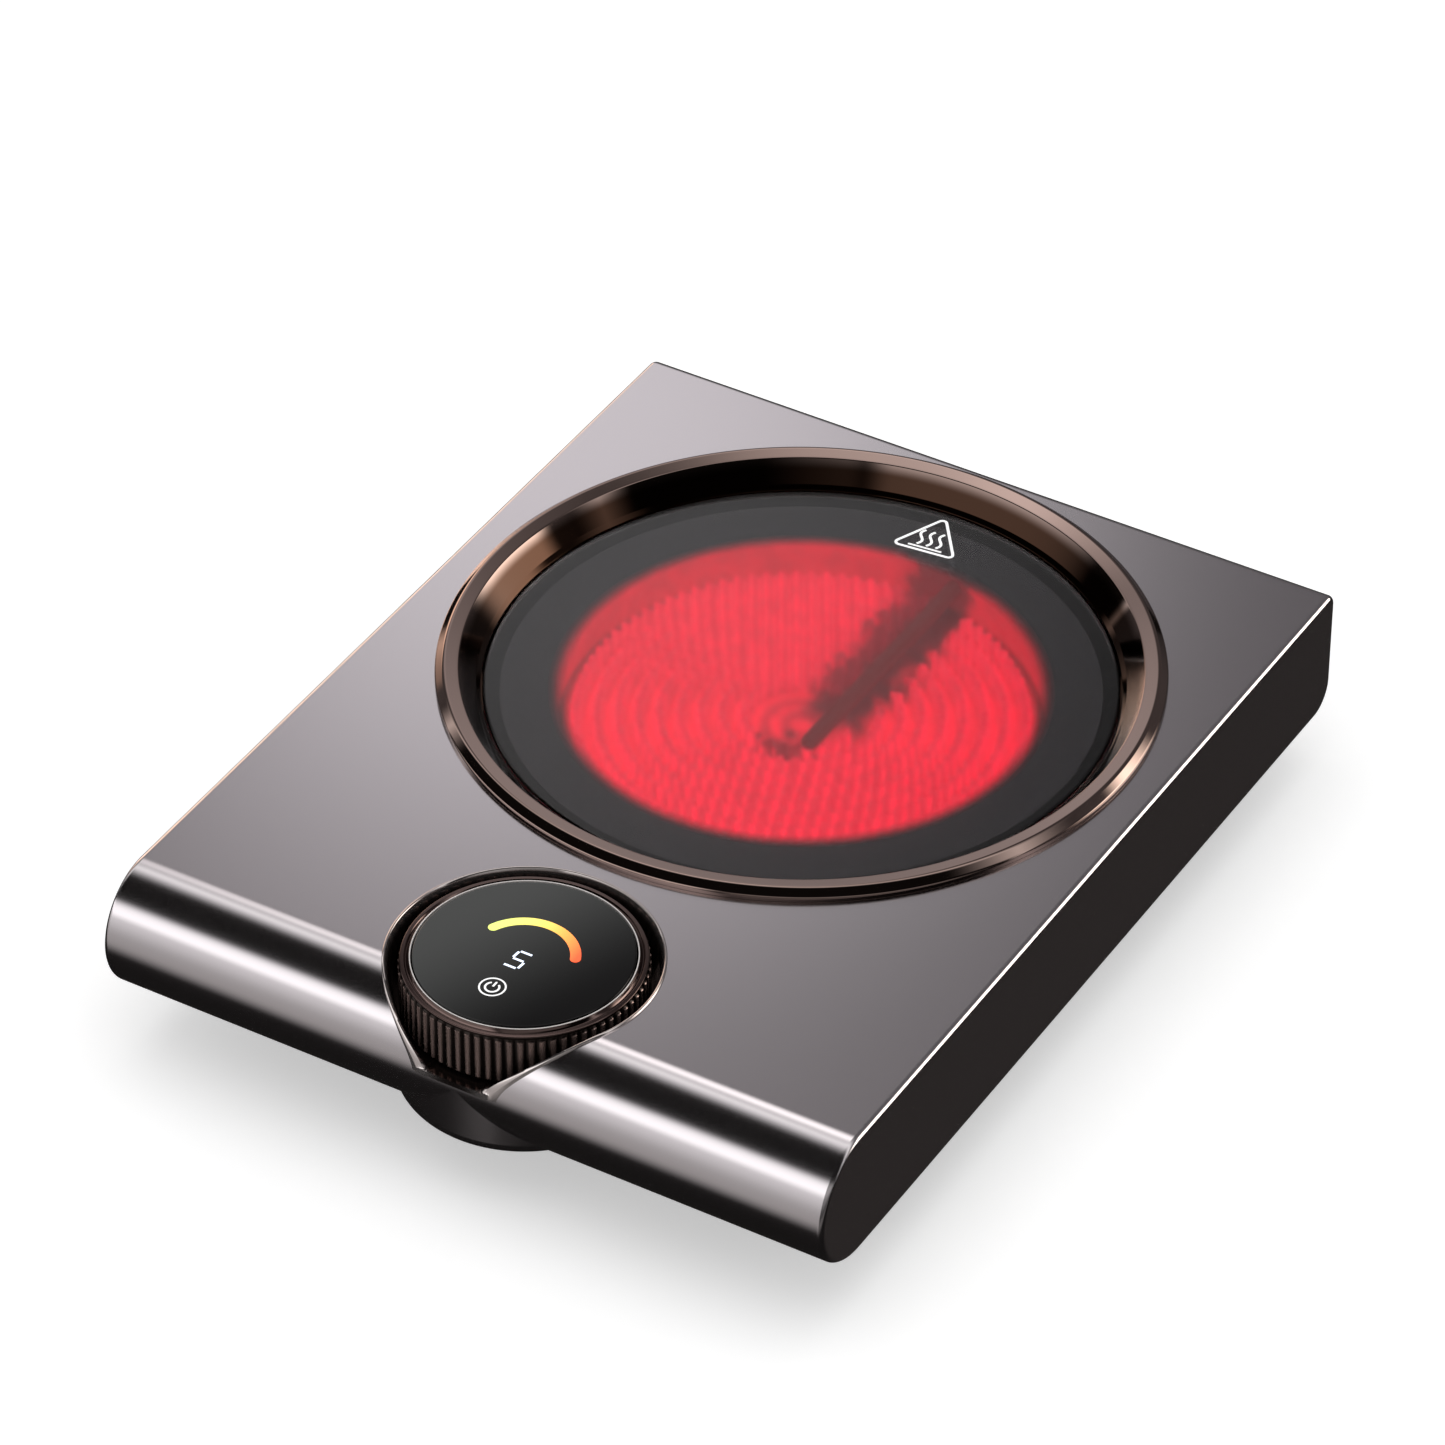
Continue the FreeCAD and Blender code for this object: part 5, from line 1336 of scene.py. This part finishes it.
    def heat_mark(self) -> None:
        """A plain heat mark: a rounded triangle outline with three wavy lines."""
        z = self.layout.glass[1].z + 0.02 * MM
        centre = np.array(self.layout.zone) + np.array(self.mark_place) * MM
        lean = math.radians(self.mark_lean)
        turned = np.array([[math.cos(lean), math.sin(lean)], [-math.sin(lean), math.cos(lean)]])
        triangle = rounded([(-8.6, -5.6, 1.1), (8.6, -5.6, 1.1), (0, 9.3, 1.1)],
                           steps=6) @ turned
        lines = [stroke(triangle + centre, 0.75 * MM, z, True)]
        for shift in (-2.6, 0.0, 2.6):
            rise = np.linspace(0, 1, 25)
            wave = np.column_stack([shift + 0.75 * np.sin(rise * 2 * np.pi),
                                    -3.4 + 6.2 * rise]) @ turned * MM
            lines.append(stroke(wave + centre, 0.7 * MM, z, False))
        base = np.array([[-4.6, -4.3], [0.0, -4.3], [4.6, -4.3]]) @ turned * MM
        lines.append(stroke(base + centre, 0.6 * MM, z, False))
        settle(merged("heat_mark", lines), WHITE_PRINT_PAINTED_GLOW, Part.HOUSING, "glass_ceramic")


def stroke(path: np.ndarray, width: float, z: float, closed: bool,
           thickness: float = 0.05 * MM) -> bpy.types.Object:
    """Carry a thin flat bar along a path: both edges lie half a width along its normals.

    Args:
        path: the path's points (x, y).
        width: the bar's width.
        z: its lower face's height.
        closed: whether the path is a loop.
        thickness: the bar's thickness.

    Returns:
        The bar.
    """
    if closed:
        ahead = np.roll(path, -1, 0) - np.roll(path, 1, 0)
    else:
        ahead = np.gradient(path, axis=0)
    normal = np.stack([-ahead[:, 1], ahead[:, 0]], 1)
    normal *= width / 2 / np.maximum(np.linalg.norm(normal, axis=1, keepdims=True), 1e-9)
    count = len(path)
    left, right = path + normal, path - normal
    rings = [np.column_stack([edge, np.full(count, height)])
             for edge, height in ((left, z), (right, z), (right, z + thickness),
                                  (left, z + thickness))]
    return loft("stroke", np.stack(rings, 1), closed)


# ---------------------------------------------------------------- knob

@dataclass
class Knob:
    """The well, the ribbed knob and its bezel.

    Attributes:
        layout: the shared places.
        ribs: number of ribs.
        rib_depth: how far the ribs stand out, in millimetres.
    """

    layout: Layout
    ribs: int = 72
    rib_depth: float = 0.7

    def build(self) -> None:
        """Build the well and the turning pieces."""
        self.well()
        self.grip()
        self.bezel()

    def nose_height(self, y: np.ndarray, proud: float) -> np.ndarray:
        """Return the housing's upper surface over y, raised by proud along its normal.

        Args:
            y: places along Y.
            proud: how far above the surface.

        Returns:
            Heights.
        """
        low, high = self.layout.shell
        reach = (high.z - low.z) / 2
        inside = np.maximum((reach + proud) ** 2 - np.minimum(y - (low.y + reach), 0) ** 2, 0)
        return low.z + reach + np.sqrt(inside)

    def well(self) -> None:
        """The collar: round section points lifted to follow the nose, then a flat floor.

        At each angle the wall's points sit at fixed radii and at heights below the nose's
        surface there, never lower than the floor, and no point passes the nose's front.
        """
        low, high = self.layout.well
        outer = high.x
        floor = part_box("knob_bush")[1].z - 0.8 * MM
        centre = self.layout.dial
        front = centre[1] - low.y
        section = [(outer, -3.0), (outer, -0.25), (outer - 0.1 * MM, -0.07),
                   (outer - 0.3 * MM, 0.0), (outer - 0.55 * MM, -0.05), (outer - 0.7 * MM, -0.25),
                   (outer - 1.6 * MM, -2.6), (outer - 2.1 * MM, -4.4), (outer - 2.3 * MM, -30)]
        turn = np.linspace(0, 2 * np.pi, 480, endpoint=False)
        ahead = np.maximum(-np.sin(turn), 1e-6)
        limit = np.where(np.sin(turn) < 0, front / ahead, 1.0)
        columns = []
        for radius, depth in section:
            near = np.minimum(radius, limit)
            surface = self.nose_height(centre[1] + near * np.sin(turn), 0.6 * MM)
            height = np.maximum(surface + depth * MM, floor)
            if depth == -3.0:
                height = np.minimum(np.full(len(turn), floor - 1.5 * MM), height)
            columns.append((near, height))
        hub = 14.1 * MM
        columns.append((np.full(len(turn), hub), np.full(len(turn), floor)))
        columns.append((np.full(len(turn), hub), np.full(len(turn), floor - 1.5 * MM)))
        points = np.stack([np.column_stack([centre[0] + r * np.cos(turn),
                                            centre[1] + r * np.sin(turn), z])
                           for r, z in columns], 1)
        piece = loft("dial_well", points, True, 50)
        # Painted highlight and shade: a pale band on the rim, near black down the wall and over
        # the floor of the well.
        chrome_with_painted_light = RadialPaintedLightAndPrint("collar_metal_painted_light", (0.62, 0.57, 0.56), metallic=0.92, roughness=0.12,
                         spread=0.02, grain=300, relief=0.0, centre=centre,
                         inner=(0.05, 0.036, 0.032), near=outer - 1.6 * MM,
                         far=outer - 0.3 * MM)
        settle(piece, chrome_with_painted_light, Part.HOUSING, "collar_chrome", "knob_well")

    def grip(self) -> None:
        """The ribbed wall: radius root + depth times the root of a raised cosine."""
        low, high = self.layout.knob
        out = high.x / MM
        root = out - self.rib_depth
        bottom = self.layout.panel / MM - 14
        top = high.z / MM
        hub_low = low.z / MM
        profile = rounded([
            (10, hub_low), (12, hub_low), (12, bottom + 0.5), (27.4, bottom + 0.5),
            (27.4, bottom), (root, bottom, 0.3), (root, top, 0.3), (27.4, top),
            (27.4, bottom + 2.3), (10, bottom + 2.3)], steps=3)
        extra = np.array([(root, z) for z in (bottom + 0.7, bottom + 1.3, top - 1.0, top - 0.5)])
        wall = np.where((profile[:, 0] > (root - 0.35) * MM))[0]
        rising = profile[wall]
        rising = np.concatenate([rising, extra * MM])
        rising = rising[np.argsort(rising[:, 1], kind="stable")]
        profile = np.concatenate([profile[:wall[0]], rising, profile[wall[-1] + 1:]])
        count = self.ribs * 14
        turn = np.linspace(0, 2 * np.pi, count, endpoint=False)
        ridge = np.sqrt(0.5 + 0.5 * np.cos(turn * self.ribs)) * self.rib_depth * MM
        height = profile[:, 1] / MM
        share = (np.clip((height - bottom - 0.6) / 0.6, 0, 1)
                 * np.clip((top - 0.45 - height) / 0.5, 0, 1)
                 * (profile[:, 0] > (root - 0.1) * MM))
        radius = profile[None, :, 0] + ridge[:, None] * share[None]
        centre = self.layout.dial
        points = np.stack([centre[0] + radius * np.cos(turn)[:, None],
                           centre[1] + radius * np.sin(turn)[:, None],
                           np.broadcast_to(profile[None, :, 1], radius.shape)], -1)
        piece = loft("dial_grip", points, True, 40)
        # Painted highlight and shade: only the rib crests are pale, the valleys and the hub near
        # black.
        fluted_with_painted_light = RadialPaintedLightAndPrint("knob_metal", (0.42, 0.30, 0.27), metallic=0.8, roughness=0.24,
                         spread=0.03, grain=900, relief=0.0, centre=centre,
                         inner=(0.016, 0.011, 0.009), near=(out - 0.34) * MM,
                         far=(out - 0.01) * MM)
        settle(piece, fluted_with_painted_light, Part.KNOB, "knob_metal", "knob_ring")

    def bezel(self) -> None:
        """The bright ring on the knob: an outer bead, a groove and a fine inner edge, with a thin
        pale ring round the lens as a painted highlight.
        """
        low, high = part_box("knob_bezel")
        out = high.x / MM
        base, top = low.z / MM, high.z / MM
        profile = rounded([
            (27.3, base), (out + 0.1, base, 0.15), (out + 0.1, base + 0.55, 0.25),
            (out - 0.9, base + 0.6, 0.25), (out - 1.4, base + 0.15, 0.2),
            (27.75, top - 0.5, 0.3), (27.45, top, 0.1), (27.3, top)], steps=5)
        piece = lathe("dial_bezel", profile, self.layout.dial, 256)
        settle(piece, BEZEL_METAL, Part.KNOB, "bezel_chrome", "knob_bezel")
        # Painted highlight: a thin pale ring round the lens.
        edge = rounded([(27.0, base), (27.3, base), (27.3, top + 0.12, 0.1),
                        (27.0, top + 0.12, 0.1)], steps=4)
        line = lathe("dial_painted_highlight", edge, self.layout.dial, 256)
        settle(line, PAINTED_HIGHLIGHT_EDGE, Part.KNOB, "bezel_chrome")


@dataclass
class Display:
    """The smoked lens with its lit digit, arc and touch key.

    Attributes:
        layout: the shared places.
        arc_radius: radius of the level arc, in millimetres.
        arc_width: width of the level arc, in millimetres.
        bar_width: width of the digit's bars, in millimetres.
        key_drop: the key's distance ahead of the dial's axis, in millimetres.
        mark_height: thickness of the lit marks.
        mark_gap: room between the lens and the marks.
    """

    layout: Layout
    arc_radius: float = 12.6
    arc_width: float = 2.6
    bar_width: float = 0.6
    key_drop: float = 14.2
    mark_height: float = 0.04 * MM
    mark_gap: float = 0.01 * MM

    @property
    def level(self) -> float:
        """Height of the marks' underside, just above the lens."""
        return self.layout.lens[1].z + self.mark_gap

    def build(self) -> None:
        """Build the lens and the marks just above its face."""
        low, high = self.layout.lens
        radius = high.x / MM
        lens = lathe("dial_lens", rounded([
            (0, low.z / MM), (radius, low.z / MM), (radius, high.z / MM, 0.35),
            (0, high.z / MM)], closed=False), self.layout.dial, 256, closed=False)
        # Painted reflection: the smoked lens runs from dark grey at the back left to black at the
        # front right.
        smoked = SlantedPaintedReflection("lens_glass", (0.080, 0.082, 0.080), roughness=0.12, spread=0.01,
                         grain=900, relief=0.0, specular=0.25, centre=self.layout.dial,
                         other=(0.001, 0.001, 0.001), half=0.024)
        settle(lens, smoked, Part.HOUSING, "lens", "display_lens")
        self.arc()
        self.digit()
        self.key()

    def arc(self) -> None:
        """The level arc, from pale green-yellow on the left to red-orange, with round ends."""
        path = arc_points((0, -0.9), self.arc_radius, 155, 25, 48)
        piece = self.capsule(path)
        piece.name = "level_arc"
        glow = Ramp("level_light", (0.5, 0.5, 0.3), roughness=0.4, centre=self.layout.dial,
                    strength=0.92, half=self.arc_radius * 0.92 * MM,
                    stops=((0.72, 0.84, 0.19), (0.95, 0.76, 0.16), (0.96, 0.40, 0.08),
                           (0.90, 0.10, 0.03)))
        settle(piece, glow, Part.HOUSING, "light_guide")

    def capsule(self, path: np.ndarray) -> bpy.types.Object:
        """Make a flat bar along an arc, with half-round ends.

        Args:
            path: the bar's middle line, in millimetres from the dial's axis.

        Returns:
            The bar.
        """
        half = self.arc_width / 2
        ahead = np.gradient(path, axis=0)
        ahead /= np.linalg.norm(ahead, axis=1, keepdims=True)
        side = np.stack([-ahead[:, 1], ahead[:, 0]], 1)
        turn = np.radians(np.linspace(90, -90, 15))[1:-1, None]
        far = path[-1] + half * (np.cos(turn) * ahead[-1] + np.sin(turn) * side[-1])
        near = path[0] - half * (np.cos(turn) * ahead[0] + np.sin(turn) * side[0])
        outline = np.concatenate([path + side * half, far, (path - side * half)[::-1], near])
        return solid_prism("capsule", outline * MM + np.array(self.layout.dial), self.level,
                           self.level + self.mark_height)

    def bar(self, start: tuple[float, float], end: tuple[float, float]) -> bpy.types.Object:
        """Make one straight lit bar between two points from the dial's axis.

        Args:
            start: first point, in millimetres.
            end: last point, in millimetres.

        Returns:
            The bar.
        """
        path = np.array([start, ((start[0] + end[0]) / 2, (start[1] + end[1]) / 2), end]) * MM
        return stroke(path + np.array(self.layout.dial), self.bar_width * MM, self.level, False,
                      self.mark_height)

    def digit(self) -> None:
        """The seven-segment digit 5."""
        left, right = -1.75, 1.75
        top, middle, bottom = 0.2, -2.75, -5.7
        slant = 0.35
        gap = 0.33
        bars = [self.bar((left + gap + slant, top), (right - 0.1 + slant, top)),
                self.bar((left + slant, top - gap), (left + slant / 2, middle + gap)),
                self.bar((left + gap, middle), (right - gap, middle)),
                self.bar((right, middle - gap), (right - slant / 2, bottom + gap)),
                self.bar((left - slant, bottom), (right - gap - slant, bottom))]
        glow = Lit("digit_light", (0.7, 0.8, 1.0), roughness=0.4, light=(0.72, 0.80, 1.0),
                   strength=1.25)
        settle(merged("digit_bars", bars), glow, Part.HOUSING, "display_white")

    def key(self) -> None:
        """The touch key: a circle, an open inner circle and a short upright bar."""
        centre = np.array(self.layout.dial) + np.array([0, -self.key_drop]) * MM
        outer = arc_points((0, 0), 3.15, 0, 360, 64)[:-1] * MM + centre
        inner = arc_points((0, -0.1), 1.7, 125, 415, 40) * MM + centre
        upright = np.array([[0, 0.2], [0, 1.1], [0, 2.0]]) * MM + centre
        lines = [stroke(path, width * MM, self.level, joined, self.mark_height)
                 for path, width, joined in ((outer, 0.42, True), (inner, 0.5, False),
                                             (upright, 0.5, False))]
        glow = Lit("key_light", (0.8, 0.8, 0.8), roughness=0.4, light=(0.9, 0.9, 0.9),
                   strength=0.65)
        settle(merged("touch_key", lines), glow, Part.HOUSING, "display_white")


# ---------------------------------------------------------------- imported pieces

@dataclass
class PackedPieces:
    """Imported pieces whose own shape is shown, dressed with a finish each."""

    finishes: dict[str, Finish]

    def build(self) -> None:
        """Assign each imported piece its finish."""
        for name, finish in self.finishes.items():
            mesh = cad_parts[name].data
            mesh.materials.clear()
            mesh.materials.append(finish.material())
            LOG.info("%s: packed piece in %s", name, finish.name)


# ---------------------------------------------------------------- studio

@dataclass(frozen=True)
class StripLight:
    """A long soft light in the surroundings, lying along X, that polished surfaces mirror.

    Attributes:
        turn: direction of its middle in degrees round the X axis, 0 ahead and 90 overhead.
        half: half its height, in degrees.
        edge: how soft its long edges are, in degrees.
        middle: the X part of its middle's direction.
        reach: half its length, as an X part of the direction.
        light: its colour times its strength.
    """

    turn: float
    half: float
    edge: float
    middle: float
    reach: float
    light: Colour


@dataclass
class Studio:
    """The floor, lights, surroundings and camera.

    Attributes:
        layout: the shared places.
        strips: the long lights that polished surfaces mirror.
        view_azimuth: camera direction in degrees, from -Y towards +X.
        view_elevation: camera height in degrees.
        distance: camera distance from the zone's middle.
        lens: focal length in millimetres on a 36 mm sensor.
        aim: camera offset to its right and up.
        card_place: middle of the soft card.
        card_reach: radius of the soft card.
        card_strength: strength of its light at the middle.
        fill_place: where the fill light stands; it points at the origin.
        fill_size: side of the fill light.
        fill_watts: power of the fill light.
        ambient: the least light that a mirror sees.
        pale: grey of the surroundings for everything but mirrors.
        pale_strength: strength of that grey.
    """

    layout: Layout
    strips: tuple[StripLight, ...] = (
        StripLight(32, 11, 7, -0.5, 0.55, (1.5, 1.47, 1.46)),
        StripLight(32, 11, 7, 0.56, 0.43, (0.4, 0.39, 0.385)),
        StripLight(13, 9, 24, -0.5, 0.55, (1.15, 1.12, 1.11)),
        StripLight(13, 9, 24, 0.56, 0.43, (0.35, 0.34, 0.335)),
        StripLight(-27, 10, 9, 0.0, 1.2, (0.16, 0.15, 0.145)),
        StripLight(-14, 15, 18, -0.5, 0.55, (0.42, 0.40, 0.39)),
        StripLight(108, 4, 15, 0.0, 1.2, (2.1, 2.05, 2.02)),
        StripLight(-137, 25, 20, 0.4, 0.5, (0.022, 0.019, 0.018)),
        StripLight(150, 28, 10, 0.0, 1.2, (0.13, 0.123, 0.127)),
        StripLight(123, 5, 3, -0.36, 0.10, (2.0, 1.9, 1.87)),
        StripLight(156, 14, 5, 0.65, 0.2, (5.2, 4.8, 4.3)),
        StripLight(160, 16, 6, -0.78, 0.12, (2.7, 1.95, 1.5)),
    )
    view_azimuth: float = 30.748
    view_elevation: float = 38.366
    distance: float = 1.8223
    lens: float = 182.95
    aim: tuple[float, float] = (-0.01959, -0.01354)
    card_place: Colour = (-0.35, 0.47, 0.37)
    card_reach: float = 0.30
    card_strength: float = 0.82
    fill_place: Colour = (0.1, -0.2, 1.6)
    fill_size: float = 1.6
    fill_watts: float = 9.0
    ambient: Colour = (0.012, 0.011, 0.0105)
    pale: float = 0.92
    pale_strength: float = 0.55

    def build(self) -> None:
        """Set up the whole studio."""
        self.camera()
        self.floor()
        self.surroundings()
        self.lights()
        bpy.context.scene.view_settings.view_transform = "Standard"

    def camera(self) -> None:
        """Place the camera and make it the scene's."""
        turn, lift = math.radians(self.view_azimuth), math.radians(self.view_elevation)
        back = Vector((math.sin(turn) * math.cos(lift), -math.cos(turn) * math.cos(lift),
                       math.sin(lift)))
        right = Vector((math.cos(turn), math.sin(turn), 0))
        up = back.cross(right)
        aim = Vector((*self.layout.zone, self.layout.panel))
        spot = aim + back * self.distance + right * self.aim[0] + up * self.aim[1]
        data = bpy.data.cameras.new("camera")
        data.lens = self.lens
        data.sensor_width = 36
        data.clip_start = 0.1
        camera = bpy.data.objects.new("camera", data)
        camera.matrix_world = Matrix.Translation(spot) @ Matrix((right, up, back)).transposed(
            ).to_4x4()
        bpy.context.scene.collection.objects.link(camera)
        bpy.context.scene.camera = camera

    def floor(self) -> None:
        """A wide pale floor that polished surfaces don't mirror."""
        ring = arc_points((0, 0), 30, 0, 360, 96)[:-1]
        plate = solid_prism("floor", ring, -0.01, 0.0)
        finish = Lit("floor_paper", (0.86, 0.86, 0.86), roughness=0.9, mottle=0.01, grain=40,
                     relief=0.0, light=(1.0, 1.0, 1.0), strength=0.45)
        plate.data.materials.append(finish.material())
        plate.visible_glossy = False

    def step(self, tree: bpy.types.NodeTree, source: bpy.types.NodeSocket, middle: float,
             half: float, edge: float) -> bpy.types.NodeSocket:
        """Return 1 within half of the middle, falling smoothly to 0 across the edge.

        Args:
            tree: the nodes to add to.
            source: the value to test.
            middle: the middle of the range.
            half: half the range.
            edge: half the width of the fall.

        Returns:
            The mask.
        """
        nodes, links = tree.nodes, tree.links
        off = nodes.new("ShaderNodeMath")
        off.operation = "SUBTRACT"
        off.inputs[1].default_value = middle
        links.new(source, off.inputs[0])
        size = nodes.new("ShaderNodeMath")
        size.operation = "ABSOLUTE"
        links.new(off.outputs[0], size.inputs[0])
        fall = nodes.new("ShaderNodeMapRange")
        fall.interpolation_type = "SMOOTHSTEP"
        for name, value in (("From Min", half - edge), ("From Max", half + edge),
                            ("To Min", 1.0), ("To Max", 0.0)):
            fall.inputs[name].default_value = value
        links.new(size.outputs[0], fall.inputs["Value"])
        return fall.outputs["Result"]

    def strip_sum(self, tree: bpy.types.NodeTree, direction: bpy.types.NodeSocket
                  ) -> bpy.types.NodeSocket:
        """Add up the strips: each is its light times a mask round X and a mask along X.

        Args:
            tree: the world's nodes.
            direction: the mirrored direction.

        Returns:
            The light seen in that direction.
        """
        nodes, links = tree.nodes, tree.links
        axes = nodes.new("ShaderNodeSeparateXYZ")
        links.new(direction, axes.inputs[0])
        ahead = nodes.new("ShaderNodeMath")
        ahead.operation = "MULTIPLY"
        ahead.inputs[1].default_value = -1.0
        links.new(axes.outputs["Y"], ahead.inputs[0])
        turn = nodes.new("ShaderNodeMath")
        turn.operation = "ARCTAN2"
        links.new(axes.outputs["Z"], turn.inputs[0])
        links.new(ahead.outputs[0], turn.inputs[1])
        total = None
        for strip in self.strips:
            radians = [math.radians(v) for v in (strip.turn, strip.half, strip.edge)]
            across = self.step(tree, turn.outputs[0], *radians)
            along = self.step(tree, axes.outputs["X"], strip.middle, strip.reach, 0.08)
            mask = nodes.new("ShaderNodeMath")
            mask.operation = "MULTIPLY"
            links.new(across, mask.inputs[0])
            links.new(along, mask.inputs[1])
            add = nodes.new("ShaderNodeVectorMath")
            add.operation = "MULTIPLY_ADD"
            links.new(mask.outputs[0], add.inputs[0])
            add.inputs[1].default_value = strip.light
            if total is not None:
                links.new(total, add.inputs[2])
            total = add.outputs[0]
        return total

    def surroundings(self) -> None:
        """Dark surroundings with strip lights for mirrors, pale for everything else."""
        world = bpy.data.worlds.new("studio")
        world.use_nodes = True
        world.cycles.sampling_method = "NONE"
        bpy.context.scene.world = world
        tree = world.node_tree
        nodes, links = tree.nodes, tree.links
        nodes.clear()
        place = nodes.new("ShaderNodeTexCoord")
        light = self.strip_sum(tree, place.outputs["Generated"])
        ambient = nodes.new("ShaderNodeVectorMath")
        ambient.operation = "ADD"
        ambient.inputs[1].default_value = self.ambient
        links.new(light, ambient.inputs[0])
        mirrored = nodes.new("ShaderNodeBackground")
        links.new(ambient.outputs[0], mirrored.inputs["Color"])
        pale = nodes.new("ShaderNodeBackground")
        pale.inputs["Color"].default_value = (*[self.pale] * 3, 1)
        pale.inputs["Strength"].default_value = self.pale_strength
        path = nodes.new("ShaderNodeLightPath")
        mix = nodes.new("ShaderNodeMixShader")
        links.new(path.outputs["Is Glossy Ray"], mix.inputs["Fac"])
        links.new(pale.outputs[0], mix.inputs[1])
        links.new(mirrored.outputs[0], mix.inputs[2])
        out = nodes.new("ShaderNodeOutputWorld")
        links.new(mix.outputs[0], out.inputs["Surface"])

    def lights(self) -> None:
        """A soft card at the back left, whose light falls off from its middle, and a fill."""
        self.card()
        self.fill()

    def card(self) -> None:
        """Make the card: a disc whose light falls as a smooth step of the distance.

        Its middle lies where the panel's back left corner mirrors it to the camera.
        """
        centre = np.array(self.card_place)
        facing = np.array([0.401, -0.674, -0.621])
        side = np.cross(facing, (0, 0, 1))
        side /= np.linalg.norm(side)
        up = np.cross(side, facing)
        turn = np.linspace(0, 2 * np.pi, 64, endpoint=False)[:, None]
        rim = centre + self.card_reach * (np.cos(turn) * side + np.sin(turn) * up)
        faces = [[64, index, (index + 1) % 64] for index in range(64)]
        disc = make_object("soft_card", np.concatenate([rim, centre[None]]), faces)
        disc.data.materials.append(SoftGlow("card_light", (0, 0, 0), roughness=1.0, relief=0.0,
                                            light=(1.0, 0.97, 0.985),
                                            strength=self.card_strength,
                                            centre=self.card_place, reach=self.card_reach
                                            ).material())
        disc.visible_camera = False
        disc.visible_diffuse = False
        disc.visible_shadow = False
        disc.visible_transmission = False

    def fill(self) -> None:
        """Add a wide, weak light overhead that mirrors don't see."""
        data = bpy.data.lights.new("fill", "AREA")
        data.size = self.fill_size
        data.energy = self.fill_watts
        light = bpy.data.objects.new("fill", data)
        light.location = self.fill_place
        light.rotation_euler = (-Vector(self.fill_place)).to_track_quat("-Z", "Y").to_euler()
        light.visible_glossy = False
        bpy.context.scene.collection.objects.link(light)


def main() -> None:
    """Build every sub-assembly in order."""
    logging.basicConfig(level=logging.INFO, format="%(name)s: %(message)s")
    layout = Layout()
    Studio(layout).build()
    Housing(layout).build()
    Feet().build()
    CookingZone(layout).build()
    Knob(layout).build()
    Display(layout).build()
    PackedPieces(NODE_FINISHES).build()


if __name__ == "__main__":
    main()
